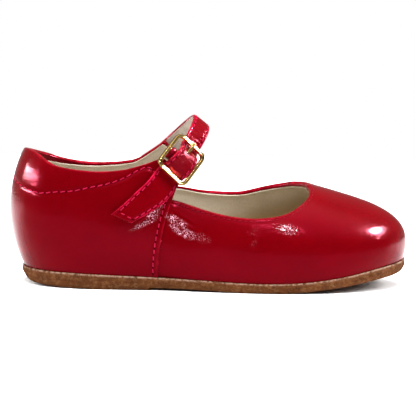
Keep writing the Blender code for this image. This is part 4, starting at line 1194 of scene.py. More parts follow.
# %% Outline and heights of the sole
SOLE_EDGE, SOLE_ROUND, HEEL_BREAST = 0.6, 0.9, -21.0
BREAST_RUN = 0.25                    # the heel's front face leans this much
HEEL_TREAD = ((-71.0, 3.8), (-66.0, 1.5), (-60.0, 0.75), (-53.0, 0.35), (-46.0, 0.1),
              (-42.0, 0.0), (HEEL_BREAST, 0.0))
FRONT_TREAD = ((HEEL_BREAST, 0.8), (-8.0, 0.75), (2.0, 0.45), (10.0, 0.1), (14.0, 0.0),
               (28.0, 0.0), (34.0, 0.35), (42.0, 1.2), (52.0, 2.6), (62.0, 4.2),
               (70.0, 5.3), (76.0, 6.4))


def outline(offset, share):
    """Both sides of the feather outline moved out by offset, at shares of the length."""
    u = np.linspace(0, 1, 2001)
    edge = (feather_point(u) + feather_out(u) * offset)[:-1, :2]
    heel, toe = edge[:, 0].argmin(), edge[:, 0].argmax()
    loop = np.roll(edge, -heel, axis=0)
    toe = (toe - heel) % len(edge)
    outer, inner = loop[:toe + 1], np.vstack([loop[toe:], loop[:1]])[::-1]
    x = loop[0, 0] + (loop[toe, 0] - loop[0, 0]) * share
    return x, np.interp(x, outer[:, 0], outer[:, 1]), np.interp(x, inner[:, 0], inner[:, 1])


def tread_height(x):
    return np.maximum(np.where(x <= HEEL_BREAST + 0.01, through(HEEL_TREAD, x),
                               through(FRONT_TREAD, x)), 0)


def close_at_ends(count):
    """Shares of a length from 0 to 1, closer together at both ends."""
    return (1 - np.cos(np.linspace(0, math.pi, count))) / 2


# %% Sole sections
WALL_SHARES = np.linspace(0, 1, 9)[:-1]
ROUND_DEGREES = (0, 25, 50, 72, 90)
TREAD_SHARES = (0.92, 0.75, 0.6, 0.45, 0.3, 0.15)
UNDER_UPPER = 0.06                   # the sole's top lies this far below the feather edge


def sole_section(x, top, low, mid, half):
    """Points round the sole at x: down the outer wall, along the tread, up, and over the top."""
    tall = top - low
    curve = min(SOLE_ROUND, half * 0.5, tall * 0.4)
    shoulder = half - 0.9 * min(1, half / 2)      # inside it the upper stands on the sole
    side = [(shoulder, top), (half - 0.25 * min(1, half), top + 0.05), (half - 0.02, top - 0.10)]
    side += [(half, top - 0.25 - (tall - 0.25 - curve) * t) for t in WALL_SHARES]
    side += [(half - curve * (1 - math.cos(a)), low + curve * (1 - math.sin(a)))
             for a in np.radians(ROUND_DEGREES)]
    side += [((half - curve) * share, low) for share in TREAD_SHARES]
    over = [(mid + shoulder * share, top) for share in np.linspace(1, -1, 14)[1:-1]]
    loop = ([(mid - y, z) for y, z in side] + [(mid, low)]
            + [(mid + y, z) for y, z in reversed(side)] + over)
    return [(x, y, z) for y, z in loop]


share = close_at_ends(300)
(heel_end, toe_end), _, _ = outline(SOLE_EDGE, np.array([0.0, 1.0]))
breast = (np.array([HEEL_BREAST, HEEL_BREAST + BREAST_RUN]) - heel_end) / (toe_end - heel_end)
share = np.sort(np.concatenate([share[np.abs(share - breast.mean()) > 0.002], breast]))
sole_x, sole_outer, sole_inner = outline(SOLE_EDGE, share)
sole_top, sole_tread = feather_height(sole_x) - UNDER_UPPER, tread_height(sole_x)
sole_mid, sole_half = (sole_outer + sole_inner) / 2, (sole_inner - sole_outer) / 2
sole_points = np.array([sole_section(*values) for values in
                        zip(sole_x, sole_top, sole_tread, sole_mid, sole_half)])
print("sole sections:", sole_points.shape[:2])

# %% The ragged crepe
WALL_CRUMB, TREAD_CRUMB = 0.16, 0.10         # height of the crumbs on the edge and below
END_PULL, END_REACH = 0.9, 8.0               # both ends slant in towards the tread
# The lip is painted paler below: a painted highlight along the sole's top edge.
LIP_DOWN, LIP_HALF = 0.15, 0.32              # the pale lip along the top edge

down = sole_top[:, None] - sole_points[..., 2]
low_share = np.clip(down / np.maximum(sole_top - sole_tread, 0.1)[:, None], 0, 1)
near_heel, near_toe = [np.clip(1 - np.abs(sole_x - end) / END_REACH, 0, 1) ** 2
                       for end in (sole_x[0], sole_x[-1])]
sole_points[..., 0] += ((near_heel - near_toe)[:, None] * END_PULL
                        * smooth_step((low_share - 0.55) / 0.45))
outwards = sole_points - np.stack([sole_x * 0.8, sole_mid, sole_top], 1)[:, None]
outwards[..., 2] = 0
on_wall = smooth_step((np.abs(sole_points[..., 1] - sole_mid[:, None])
                       / np.maximum(sole_half, 0.5)[:, None] - 0.9) / 0.08)
below_lip = smooth_step((down - LIP_DOWN) / 0.6)
crumb = np.array([[noise.noise(Vector((p[0] * 0.55, p[1] * 0.55, p[2] * 1.3)))
                   + 0.7 * noise.noise(Vector((p[0] * 1.5, p[1] * 1.5, p[2] * 2.6)))
                   for p in section] for section in sole_points])
sole_points += unit(outwards) * (WALL_CRUMB * crumb * on_wall * below_lip)[..., None]
on_tread = sole_points[..., 2] < sole_tread[:, None] + 0.2
sole_points[..., 2] += TREAD_CRUMB * np.clip(crumb, 0, 1) * on_tread
lip = np.exp(-((down - LIP_DOWN) / LIP_HALF) ** 2)
sole = mesh_from("crepe_sole", sole_points.reshape(-1, 3), sweep_faces(*sole_points.shape[:2]),
                 crepe, {"lip": lip}, sharp=55)
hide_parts("outsole")
print("sole:", len(sole.data.polygons), "faces")

# %% [markdown]
# ## The sock
#
# The foot stands on a thin leather sock that is glued on the insole. It is dished a
# little at the heel and under the ball, where a foot has pressed it. A flat plate would
# show no hollow where the light falls in from above, so it is a sheet with two hollows.

# %% The sock and the insole under it
SOCK_THICK, SOCK_INSIDE = 2.0, WALL + 0.12   # with the insole, and inside the feather edge
CLOSE_TO_SIDE = np.array((0, 0.01, 0.035, 0.08, 0.14))
DISHES = ((0.5, -48.0, 16.0, 11.0), (0.4, 22.0, 18.0, 15.0))   # depth, x, length, width

sock_x, sock_outer, sock_inner = outline(-SOCK_INSIDE, close_at_ends(120))
sock_side = np.concatenate([CLOSE_TO_SIDE - 1, np.linspace(-0.8, 0.8, 24),
                            (1 - CLOSE_TO_SIDE)[::-1]])[:, None]
sock_half = (sock_inner - sock_outer) / 2
sock_y = (sock_outer + sock_inner) / 2 + sock_half * sock_side
sock_xx = np.broadcast_to(sock_x, sock_y.shape)
sock_low = np.stack([sock_xx, sock_y, feather_height(sock_xx)], -1)
dish = sum(depth * np.exp(-((sock_xx - x) / length) ** 2 - (sock_y / width) ** 2)
           for depth, x, length, width in DISHES)
sock_face = sock_low.copy()
sock_face[..., 2] += SOCK_THICK - dish + uneven(sock_low, 6.0, 0.04)
sock_edge = np.minimum((1 - np.abs(sock_side)) * sock_half,
                       np.minimum(sock_xx - sock_x[0], sock_x[-1] - sock_xx))
sock = sheet("sock", sock_face, sock_low, rounding(sock_edge, 0.5), sock_leather,
             {"edge": sock_edge})
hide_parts("insole")
print("sock:", len(sock.data.polygons), "faces")

# %% [markdown]
# ## Node helpers
#
# A finish that varies over the surface is built from nodes. Adding nodes by hand in the
# editor is good for trying things out. In a script a few short helpers keep it readable:
# each of them adds one kind of node, joins it to what it is given and returns its output.

# %% Adding nodes


def connect(tree, socket, value):
    """Give a socket a value, or the output of another node."""
    if isinstance(value, bpy.types.NodeSocket):
        tree.links.new(value, socket)
    else:
        socket.default_value = value


def add(tree, kind, settings=(), **inputs):
    """A node's first output: inputs are values or other nodes' outputs."""
    made = tree.nodes.new("ShaderNode" + kind)
    for label, value in dict(settings).items():
        setattr(made, label, value)
    for label, value in inputs.items():
        connect(tree, made.inputs[label.replace("_", " ")], value)
    return made.outputs[0]


def vector_maths(tree, operation, *values):
    made = tree.nodes.new("ShaderNodeVectorMath")
    made.operation = operation
    for socket, value in zip(made.inputs, values):
        connect(tree, socket, value)
    return made.outputs[0]


def maths(tree, operation, *values):
    made = tree.nodes.new("ShaderNodeMath")
    made.operation = operation
    for socket, value in zip(made.inputs, values):
        connect(tree, socket, value)
    return made.outputs[0]


def times(tree, first, second):
    return maths(tree, "MULTIPLY", first, second)


def one_less(tree, value):
    """What is left of 1."""
    return maths(tree, "SUBTRACT", 1.0, value)


def span(tree, value, low, high, to_low=0.0, to_high=1.0):
    """Turn a value's run from low to high into a smooth run between two other numbers."""
    return add(tree, "MapRange", {"interpolation_type": "SMOOTHSTEP"}, Value=value,
               From_Min=low, From_Max=high, To_Min=to_low, To_Max=to_high)


def blend(tree, share, first, second):
    """Colour between the first (share 0) and the second (share 1)."""
    made = tree.nodes.new("ShaderNodeMix")
    made.data_type = "RGBA"
    connect(tree, made.inputs[0], share)
    for socket, colour in ((made.inputs[6], first), (made.inputs[7], second)):
        connect(tree, socket, (*colour, 1.0) if isinstance(colour, tuple) else colour)
    return made.outputs[2]


def tint(tree, under, mask, strength, over):
    """Lay a colour over another one where the mask says, at most as strong as strength."""
    return blend(tree, times(tree, mask, strength), under, over)


def attribute(tree, name):
    """A value that the mesh stores at each point."""
    made = tree.nodes.new("ShaderNodeAttribute")
    made.attribute_name = name
    return made.outputs["Fac"]


def bump(tree, height, deep, normal=None):
    """Normal bent by a height from 0 to 1, which stands for a relief of deep mm."""
    made = tree.nodes.new("ShaderNodeBump")
    made.inputs["Distance"].default_value = deep * MM
    connect(tree, made.inputs["Height"], height)
    if normal is not None:
        connect(tree, made.inputs["Normal"], normal)
    return made.outputs["Normal"]


# %% Textures sized in millimetres


def millimetres(tree, stretch=(1, 1, 1)):
    """Place on the object, in mm, so that every texture below can be sized in mm."""
    place = tree.nodes.new("ShaderNodeTexCoord").outputs["Object"]
    return vector_maths(tree, "MULTIPLY", place, tuple(value / MM for value in stretch))


def scale_of(tree, size):
    """A texture's scale for spots of a size in mm, given as a number or by a node."""
    if isinstance(size, bpy.types.NodeSocket):
        return maths(tree, "DIVIDE", 1.0, size)
    return 1 / size


def cloud(tree, place, size, detail=2.0, rough=0.5, twist=0.0):
    """Soft noise with spots of about the size given in mm."""
    return add(tree, "TexNoise", Vector=place, Scale=scale_of(tree, size), Detail=detail,
               Roughness=rough, Distortion=twist)


def spots(tree, place, size, uneven_places=1.0):
    """Distance to the nearest of many points, which lie about size mm apart."""
    return add(tree, "TexVoronoi", {"feature": "F1"}, Vector=place, Scale=scale_of(tree, size),
               Randomness=uneven_places)


def net(tree, place, size, sway, sway_scale, detail):
    """Distance to the nearest line of a net with meshes of size mm, swayed out of true."""
    bend = tree.nodes.new("ShaderNodeTexNoise")
    bend.inputs["Scale"].default_value = sway_scale
    bend.inputs["Detail"].default_value = detail
    connect(tree, bend.inputs["Vector"], place)
    swayed = vector_maths(tree, "MULTIPLY_ADD", bend.outputs["Color"], (sway,) * 3, place)
    return add(tree, "TexVoronoi", {"feature": "DISTANCE_TO_EDGE"}, Vector=swayed,
               Scale=scale_of(tree, size))


# %% [markdown]
# ## Effects that several finishes share
#
# Every effect is a node group with its own named inputs, so that a finish can use it at
# its own size and strength. They give out only masks, heights and colours. The shaders
# stay in the materials.

# %% Making and placing node groups


def new_group(name, inputs, outputs):
    """Empty node group: inputs are {name: (kind, value)}, outputs are {name: kind}."""
    tree = bpy.data.node_groups.new(name, "ShaderNodeTree")
    for label, (kind, value) in inputs.items():
        socket = tree.interface.new_socket(name=label, in_out="INPUT",
                                           socket_type="NodeSocket" + kind)
        if value is not None:
            socket.default_value = value
    for label, kind in outputs.items():
        tree.interface.new_socket(name=label, in_out="OUTPUT", socket_type="NodeSocket" + kind)
    return tree, tree.nodes.new("NodeGroupInput").outputs, tree.nodes.new("NodeGroupOutput").inputs


def use(tree, group, **inputs):
    """Place a node group and return its outputs."""
    made = tree.nodes.new("ShaderNodeGroup")
    made.node_tree = group
    for label, value in inputs.items():
        connect(tree, made.inputs[label.replace("_", " ")], value)
    return made.outputs


# %% Colour drift
# Dye takes unevenly, so no leather or rubber has one flat colour.
drift, given, result = new_group(
    "colour_drift", {"Color": ("Color", None), "Size": ("Float", 9.0), "Amount": ("Float", 0.1)},
    {"Color": "Color"})
place = millimetres(drift)
slow = cloud(drift, place, given["Size"], detail=3.0)
fine = cloud(drift, place, 0.9)
both = maths(drift, "ADD", times(drift, slow, 0.75), times(drift, fine, 0.25))
swing = times(drift, maths(drift, "SUBTRACT", both, 0.5), given["Amount"])
value = maths(drift, "MULTIPLY_ADD", swing, 4.0, 1.0)
connect(drift, result["Color"], add(drift, "HueSaturation", Color=given["Color"], Value=value))

# %% Edge wear
# Edges are touched first. The mask follows the distance from the edge, which the sheet
# maker stored in mm, and noise breaks it into patches.
wear, given, result = new_group(
    "edge_wear", {"Reach": ("Float", 1.0), "Patch": ("Float", 2.5)}, {"Worn": "Float"})
patches = cloud(wear, millimetres(wear), given["Patch"], detail=4.0, rough=0.65)
reached = maths(wear, "DIVIDE", attribute(wear, "edge"), given["Reach"])
near_edge = span(wear, reached, 0.0, 1.0, 1.0, 0.0)
connect(wear, result["Worn"], times(wear, near_edge, span(wear, patches, 0.36, 0.66)))

# %% Leather grain
# Grain is a net of little pebbles with pores between them.
grain, given, result = new_group(
    "leather_grain", {"Size": ("Float", 0.8)}, {"Height": "Float", "Pores": "Float"})
place = millimetres(grain)
cells = net(grain, place, given["Size"], sway=0.7, sway_scale=0.9, detail=2.0)
pebbles = span(grain, cells, 0.0, 0.28)
height = maths(grain, "MULTIPLY_ADD", cloud(grain, place, 0.35, detail=1.0), 0.35,
               times(grain, pebbles, 0.65))
connect(grain, result["Height"], height)
connect(grain, result["Pores"], one_less(grain, pebbles))

# %% Crinkle
# Where a lacquered leather is bent, its lacquer breaks into many little facets, and each
# one catches the light on its own. The lines between the facets are painted shade, and
# the white flecks are painted highlight: glints painted where the facets would sparkle.
# The mask is stored on the mesh as "flex".
crinkle, given, result = new_group(
    "lacquer_crinkle", {"Size": ("Float", 1.3)},
    {"Height": "Float", "CrackShade": "Float", "PaintedGlints": "Float"})
place = millimetres(crinkle, (1.0, 1.0, 1.25))
cells = net(crinkle, place, given["Size"], sway=2.2, sway_scale=0.55, detail=3.0)
facets = span(crinkle, cells, 0.0, 0.35)
small = cloud(crinkle, place, 0.75, rough=0.6)
mixed = maths(crinkle, "ADD", times(crinkle, facets, 0.55), times(crinkle, small, 0.75))
patches = span(crinkle, cloud(crinkle, place, 4.0), 0.38, 0.62, 0.35, 1.0)
shown = times(crinkle, attribute(crinkle, "flex"), patches)
connect(crinkle, result["Height"], times(crinkle, mixed, shown))
# Painted shade: the lines between the facets, the troughs of the relief, are marked to be darkened.
crack_shade = span(crinkle, cells, 0.0, 0.07, 1.0, 0.0)
connect(crinkle, result["CrackShade"], times(crinkle, shown, crack_shade))
# Painted highlight: pale specks painted where the crinkle facets would catch a lamp.
glint_speckle = cloud(crinkle, millimetres(crinkle), 0.42, rough=0.6)
painted_glints = times(crinkle, span(crinkle, glint_speckle, 0.52, 0.63), span(crinkle, shown, 0.10, 0.75))
connect(crinkle, result["PaintedGlints"], painted_glints)

# %% Lacquer waves
# Poured lacquer is never flat: long soft waves, a fine orange peel, and fine streaks along
# the shoe where the leather was pulled over the last.
waves, given, result = new_group(
    "lacquer_waves", {"Long": ("Float", 6.0), "Peel": ("Float", 0.2), "Streaks": ("Float", 0.2)},
    {"Height": "Float"})
place = millimetres(waves)
long_waves = cloud(waves, place, given["Long"], rough=0.45)
peel = times(waves, cloud(waves, place, 1.1, detail=1.0), given["Peel"])
streaks = cloud(waves, millimetres(waves, (0.22, 0.22, 1.5)), 0.9, detail=3.0)
streaks = times(waves, streaks, given["Streaks"])
height = maths(waves, "ADD", maths(waves, "ADD", long_waves, peel), streaks)
connect(waves, result["Height"], height)

# %% Dust and handling
# Specks of dust and faint smears of handling make a shine look real.
dust, given, result = new_group(
    "dust", {"Size": ("Float", 1.7), "Much": ("Float", 0.3)}, {"Specks": "Float", "Smears": "Float"})
place = millimetres(dust)
speck = span(dust, spots(dust, place, given["Size"]), 0.05, 0.16, 1.0, 0.0)
speck = times(dust, speck, span(dust, cloud(dust, place, 7.0, detail=3.0), 0.45, 0.65))
connect(dust, result["Specks"], times(dust, speck, given["Much"]))
smear = span(dust, cloud(dust, place, 14.0, detail=5.0, rough=0.6, twist=0.8), 0.42, 0.70)
connect(dust, result["Smears"], times(dust, smear, given["Much"]))
print("node groups:", sorted(group.name for group in bpy.data.node_groups))


# %% [markdown]
# ## Red patent leather
#
# The colour is deep, with painted shade in the lines between the crinkles' facets and
# painted white glints where the facets would sparkle. The lacquer mirrors the room, so most
# of the look is in the relief: waves, orange peel, and crinkles at the joints. At the
# folded edges the lacquer is thin, and the leather there is a lighter red.
# A plain red with a low roughness would be simpler, but a perfect mirror reads as plastic.

# %% Patent finishes
# The first colour is a painted highlight: the white of the glints painted where crinkles would
# sparkle.
PAINTED_GLINT_WHITE, DUST_PINK = (0.82, 0.42, 0.54), (0.42, 0.16, 0.18)
WAVE_DEEP = 0.085            # mm between the lowest and the highest of the lacquer's waves


def shader_of(material):
    return material.node_tree, material.node_tree.nodes["Principled BSDF"].inputs


def lacquered(material, colour, thin_red, crinkle_size, crinkle_deep, peel, glints_and_coat):
    """Patent leather: thin_red shows at its edges, and where it is crinkled the last number sets
    both the coat and the painted white glints.
    """
    tree, sockets = shader_of(material)
    worn = use(tree, wear, Reach=1.3, Patch=3.0)["Worn"]
    marks = use(tree, dust, Size=3.4, Much=0.10)
    crinkle_outputs = use(tree, crinkle, Size=crinkle_size)
    flex = attribute(tree, "flex")
    dyed = use(tree, drift, Color=(*colour, 1.0), Size=11.0, Amount=0.10)["Color"]
    dyed = tint(tree, dyed, worn, 0.55, thin_red)
    # Painted shade darkens the lines between the crinkle facets.
    dyed = tint(tree, dyed, crinkle_outputs["CrackShade"], 0.35, tuple(0.45 * value for value in colour))
    # Painted highlight: white glints painted into the colour where the crinkles would sparkle.
    dyed = tint(tree, dyed, crinkle_outputs["PaintedGlints"], glints_and_coat, PAINTED_GLINT_WHITE)
    dyed = tint(tree, dyed, marks["Specks"], 0.07, DUST_PINK)
    connect(tree, sockets["Base Color"], dyed)
    rough = maths(tree, "MULTIPLY_ADD", marks["Smears"], 0.10, 0.15)
    rough = maths(tree, "MAXIMUM", 0.05, maths(tree, "MULTIPLY_ADD", flex, -0.10, rough))
    rough = maths(tree, "MULTIPLY_ADD", worn, 0.12, rough)
    rough = maths(tree, "MULTIPLY_ADD", marks["Specks"], 0.12, rough)
    connect(tree, sockets["Roughness"], rough)
    glassy = maths(tree, "MULTIPLY_ADD", flex, glints_and_coat, LACQUER["Coat_Weight"])
    connect(tree, sockets["Coat Weight"], maths(tree, "MINIMUM", glassy, 1.0))
    relief = use(tree, waves, Long=5.5, Peel=peel, Streaks=0.42)["Height"]
    normal = bump(tree, crinkle_outputs["Height"], crinkle_deep, bump(tree, relief, WAVE_DEEP))
    connect(tree, sockets["Normal"], normal)


lacquered(red_patent, DEEP_RED, (0.20, 0.001, 0.008), crinkle_size=0.65, crinkle_deep=0.34,
          peel=0.10, glints_and_coat=0.9)
lacquered(strap_patent, STRAP_RED, (0.36, 0.004, 0.030), crinkle_size=0.9, crinkle_deep=0.13,
          peel=0.14, glints_and_coat=0.02)
print("patent finishes:", red_patent.name, strap_patent.name)

# %% [markdown]
# ## Lining, sock and thread
#
# The lining is cream pigskin: a fine grain with grey-brown pores, and painted shade makes it
# darker further down from its top edge. The strap's backing is a woven tape with little dots.
# Thread is a twisted cord, so it gets slanting ribs. Noise in the space round the shoe does
# all this without unwrapping a single piece, which a picture of leather would ask for.

# %% Lining leathers


def lined(material, colour, dark, grain_size, grain_deep):
    """Unlacquered leather, which turns dark in its pores and at its edge, and darker away from its
    top edge as painted shade.
    """
    tree, sockets = shader_of(material)
    pores = use(tree, grain, Size=grain_size)
    worn = use(tree, wear, Reach=1.6, Patch=2.0)["Worn"]
    marks = use(tree, dust, Size=2.6, Much=0.6)
    skin = use(tree, drift, Color=(*colour, 1.0), Size=8.0, Amount=0.12)["Color"]
    skin = tint(tree, skin, pores["Pores"], 0.25, dark)
    skin = tint(tree, skin, marks["Smears"], 0.25, dark)
    skin = tint(tree, skin, worn, 0.45, dark)
    # Painted shade: the colour runs towards the dark one further from the edge, deep inside the
    # shoe.
    painted_deep_shade = span(tree, attribute(tree, "edge"), 2.5, 15.0, 0.0, 0.85)
    connect(tree, sockets["Base Color"], blend(tree, painted_deep_shade, skin, dark))
    connect(tree, sockets["Roughness"], maths(tree, "MULTIPLY_ADD", pores["Pores"], 0.2, 0.55))
    connect(tree, sockets["Normal"], bump(tree, pores["Height"], grain_deep))


lined(cream_lining, LINING_CREAM, (0.27, 0.18, 0.08), grain_size=0.6, grain_deep=0.03)
lined(sock_leather, SOCK_SHADED_CREAM, (0.17, 0.135, 0.085), grain_size=0.8, grain_deep=0.04)

# %% The strap's backing
tree, sockets = shader_of(strap_backing)
pit = span(tree, spots(tree, millimetres(tree), 0.5, 0.6), 0.15, 0.45, 1.0, 0.0)
worn = use(tree, wear, Reach=0.9, Patch=1.5)["Worn"]
tape = use(tree, drift, Color=(*BACKING_GREY, 1.0), Size=6.0, Amount=0.14)["Color"]
tape = tint(tree, tape, pit, 0.75, (0.17, 0.12, 0.09))
connect(tree, sockets["Base Color"], blend(tree, worn, tape, (0.30, 0.20, 0.16)))
connect(tree, sockets["Roughness"], maths(tree, "MULTIPLY_ADD", pit, 0.15, 0.7))
connect(tree, sockets["Normal"], bump(tree, one_less(tree, pit), 0.10))

# %% Thread and needle holes


def twisted(material, colour, shade):
    """Thread with slanting ribs, darker between them."""
    tree, sockets = shader_of(material)
    wave = tree.nodes.new("ShaderNodeTexWave")
    wave.wave_type, wave.bands_direction = "BANDS", "DIAGONAL"
    wave.inputs["Scale"].default_value = 0.55
    wave.inputs["Distortion"].default_value = 1.5
    connect(tree, wave.inputs["Vector"], millimetres(tree, (2.6, 2.6, -2.6)))
    ribs = wave.outputs["Fac"]
    dyed = use(tree, drift, Color=(*colour, 1.0), Size=3.0, Amount=0.16)["Color"]
    connect(tree, sockets["Base Color"], tint(tree, dyed, one_less(tree, ribs), 0.5, shade))
    connect(tree, sockets["Roughness"], maths(tree, "MULTIPLY_ADD", ribs, -0.15, 0.62))
    connect(tree, sockets["Normal"], bump(tree, ribs, 0.06))


twisted(red_thread, THREAD_RED, (0.14, 0.0, 0.010))
twisted(throat_thread, THREAD_DARK, (0.06, 0.0, 0.003))

# Painted shade for the needle holes, varied a little.
tree, sockets = shader_of(needle_hole_shade)
hole = use(tree, drift, Color=(*HOLE_PAINTED_SHADE, 1.0), Size=2.0, Amount=0.2)["Color"]
connect(tree, sockets["Base Color"], hole)
rough = span(tree, cloud(tree, millimetres(tree), 0.6), 0.3, 0.7, 0.7, 0.9)
connect(tree, sockets["Roughness"], rough)

# %% [markdown]
# ## Crepe rubber
#
# Crepe is pale when new and turns brown where it is handled. It is full of crumbs, pits
# and thin layers that run along the sole. The lip along its top edge is painted paler, a
# painted highlight where the edge catches the light. The large crumbs are in the mesh. The
# layers, the small crumbs and the pits are textures, because as faces they would be far too many.

# %% Crepe finish
CRUMB_TAN, LAYER_BROWN = (0.135, 0.060, 0.024), (0.030, 0.009, 0.003)
PIT_BROWN, LIP_HIGHLIGHT_PALE = (0.022, 0.007, 0.002), (0.30, 0.19, 0.14)

tree, sockets = shader_of(crepe)
place = millimetres(tree)
layers = cloud(tree, millimetres(tree, (0.28, 0.28, 1.6)), 1.4, detail=3.0, rough=0.6, twist=0.6)
crumbs = cloud(tree, place, 1.5, detail=4.0, rough=0.62)
pit = span(tree, spots(tree, place, 1.25), 0.05, 0.34, 1.0, 0.0)
rubber = use(tree, drift, Color=(*CREPE_TAN, 1.0), Size=5.0, Amount=0.30)["Color"]
rubber = blend(tree, span(tree, crumbs, 0.45, 0.72, 0.0, 0.55), rubber, CRUMB_TAN)
rubber = blend(tree, span(tree, layers, 0.30, 0.50, 0.5, 0.0), rubber, LAYER_BROWN)
rubber = tint(tree, rubber, pit, 0.5, PIT_BROWN)
patches = span(tree, cloud(tree, place, 1.1, detail=3.0), 0.34, 0.62)
# Painted highlight: the lip along the top edge is tinted paler in patches.
cut = times(tree, attribute(tree, "lip"), patches)
connect(tree, sockets["Base Color"], tint(tree, rubber, cut, 0.65, LIP_HIGHLIGHT_PALE))
connect(tree, sockets["Roughness"], span(tree, crumbs, 0.3, 0.7, 0.92, 0.72))
height = maths(tree, "ADD", times(tree, layers, 0.7), times(tree, crumbs, 0.8))
height = maths(tree, "SUBTRACT", height, times(tree, pit, 0.5))
connect(tree, sockets["Normal"], bump(tree, height, 0.35))

# %% [markdown]
# ## Gilt brass
#
# The gilding is thin and bright. Fine scratches follow the handling, and in patches the
# polish is duller and the gold a little redder. One flat metal would look like plastic.

# %% Gilt finish
tree, sockets = shader_of(gilt)
scratch = cloud(tree, millimetres(tree, (0.35, 0.35, 3.2)), 0.9, detail=4.0, rough=0.7, twist=1.2)
dull = span(tree, cloud(tree, millimetres(tree), 3.0, detail=4.0, rough=0.6), 0.35, 0.7)
gold = use(tree, drift, Color=(*GILT, 1.0), Size=2.5, Amount=0.08)["Color"]
connect(tree, sockets["Base Color"], tint(tree, gold, dull, 0.35, (0.80, 0.46, 0.14)))
rough = maths(tree, "MULTIPLY_ADD", dull, 0.10, span(tree, scratch, 0.35, 0.75, 0.07, 0.20))
connect(tree, sockets["Roughness"], rough)
connect(tree, sockets["Normal"], bump(tree, scratch, 0.012))
print("finishes:", sorted(material.name for material in bpy.data.materials))

# %% [markdown]
# ## The studio
#
# The shoe stands on a pale table in front of a white room. Patent leather shows its room
# more than itself, so there are two kinds of light. Three softboxes are seen in the shine
# alone: a long narrow one at the left, a small one at the right and a weak one in front.
# Two large fills and a ceiling light what is matt, and no shine shows them. In the shine
# the room is dark on the camera's side up to a bright ceiling, and dim behind, and the
# table is darker near the camera. The camera stands a little above the table, far off,
# with a long lens, because a near one would make the toe and the heel look too small.

# %% Camera
CAMERA_FAR, CAMERA_UP, CAMERA_ROLL, TARGET = 560.0, 6.5, 0.8, Vector((0.0, 0.0, 28.0))
SENSOR, LENS = 36.0, 128.77          # the sensor's width, and the focal length

camera_data = bpy.data.cameras.new("camera")
camera_data.sensor_width, camera_data.lens = SENSOR, LENS
camera_data.clip_start, camera_data.clip_end = 0.01, 20.0
camera = put_in_scene("camera", camera_data)
tilt = math.radians(CAMERA_UP)
look = Vector((0.0, math.cos(tilt), -math.sin(tilt)))
camera.location = (TARGET - look * CAMERA_FAR) * MM
turn = look.to_track_quat("-Z", "Y").to_matrix().to_4x4()
roll = Matrix.Rotation(math.radians(CAMERA_ROLL), 4, "Z")
camera.rotation_euler = (turn @ roll).to_euler()
bpy.context.scene.camera = camera
print("camera:", CAMERA_FAR, "mm away,", CAMERA_UP, "degrees up")

# %% Table
TABLE = ((-0.9, -0.26), (0.9, 0.60))                # its corners, in metres
TABLE_NEAR, TABLE_FAR = (-45.0, 0.07), (60.0, 0.42)  # y in mm, and the grey in the shine


def mix_shaders(tree, share, first, second):
    made = tree.nodes.new("ShaderNodeMixShader")
    for socket, value in zip(made.inputs, (share, first, second)):
        connect(tree, socket, value)
    return made.outputs[0]


(x0, y0), (x1, y1) = TABLE
table_mesh = bpy.data.meshes.new("table")
table_mesh.from_pydata([(x0, y0, 0), (x1, y0, 0), (x1, y1, 0), (x0, y1, 0)], [], [(0, 1, 2, 3)])
table = put_in_scene("table", table_mesh)
table_white = finish("table_white", (0.86, 0.86, 0.86), 0.8)
table_mesh.materials.append(table_white)
tree = table_white.node_tree
place = tree.nodes.new("ShaderNodeSeparateXYZ")
connect(tree, place.inputs[0], millimetres(tree))
(near, dark), (far, pale) = TABLE_NEAR, TABLE_FAR
mirrored = add(tree, "BsdfDiffuse", Color=span(tree, place.outputs["Y"], near, far, dark, pale))
in_shine = tree.nodes.new("ShaderNodeLightPath").outputs["Is Glossy Ray"]
surface = next(node for node in tree.nodes if node.type == "OUTPUT_MATERIAL").inputs["Surface"]
both = mix_shaders(tree, in_shine, surface.links[0].from_socket, mirrored)
connect(tree, surface, both)

# %% Lamps
SHOE_MIDDLE = 25.0                   # height in mm that every lamp points at


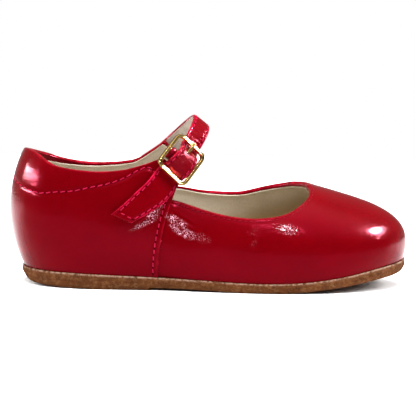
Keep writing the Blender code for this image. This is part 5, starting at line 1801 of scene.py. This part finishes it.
def lamp(name, around, up, far, size, power, in_shine):
    """Softbox at degrees round from the camera's side (+ is to the right) and up, in mm."""
    light = bpy.data.lights.new(name, "AREA")
    light.shape, light.size, light.size_y = "RECTANGLE", size[0] * MM, size[1] * MM
    light.energy = power
    made = put_in_scene(name, light)
    a, e = math.radians(around), math.radians(up)
    way = Vector((math.sin(a) * math.cos(e), -math.cos(a) * math.cos(e), math.sin(e)))
    made.location = (way * far + Vector((0, 0, SHOE_MIDDLE))) * MM
    made.rotation_euler = (-way).to_track_quat("-Z", "Y").to_euler()
    made.visible_glossy, made.visible_diffuse = in_shine, not in_shine


lamp("window_left", -85, 15, 620, (430, 12), 2.2, in_shine=True)
lamp("window_right", 86, 33, 620, (120, 50), 8.0, in_shine=True)
lamp("window_front", 17, 42, 700, (60, 45), 0.7, in_shine=True)
lamp("fill_left", -85, 25, 700, (300, 300), 5.5, in_shine=False)
lamp("fill_right", 82, 30, 700, (300, 300), 5.5, in_shine=False)
lamp("ceiling", 90, 88, 700, (700, 500), 32.0, in_shine=False)
print("lamps:", len(bpy.data.lights))

# %% The room
world = bpy.data.worlds.new("room")
bpy.context.scene.world = world
world.use_nodes = True
tree = world.node_tree
tree.nodes.clear()
split = tree.nodes.new("ShaderNodeSeparateXYZ")
connect(tree, split.inputs[0], tree.nodes.new("ShaderNodeTexCoord").outputs["Generated"])
up, behind = split.outputs["Z"], span(tree, split.outputs["Y"], -0.15, 0.45)
front_shine = span(tree, up, 0.35, 0.95, 0.02, 1.2)
back_shine = span(tree, up, 0.0, 0.30, 0.42, 0.16)
shine = maths(tree, "ADD", times(tree, back_shine, behind),
              times(tree, front_shine, one_less(tree, behind)))
path = tree.nodes.new("ShaderNodeLightPath").outputs
matt = path["Is Diffuse Ray"]
on_matt = span(tree, up, -0.2, 1.0, 0.05, 1.35)
bright = maths(tree, "ADD", times(tree, shine, one_less(tree, matt)), times(tree, on_matt, matt))
lit, seen = add(tree, "Background", Strength=bright), add(tree, "Background", Color=(1, 1, 1, 1))
room = mix_shaders(tree, path["Is Camera Ray"], lit, seen)
connect(tree, tree.nodes.new("ShaderNodeOutputWorld").inputs["Surface"], room)
bpy.context.scene.view_settings.view_transform = "Standard"
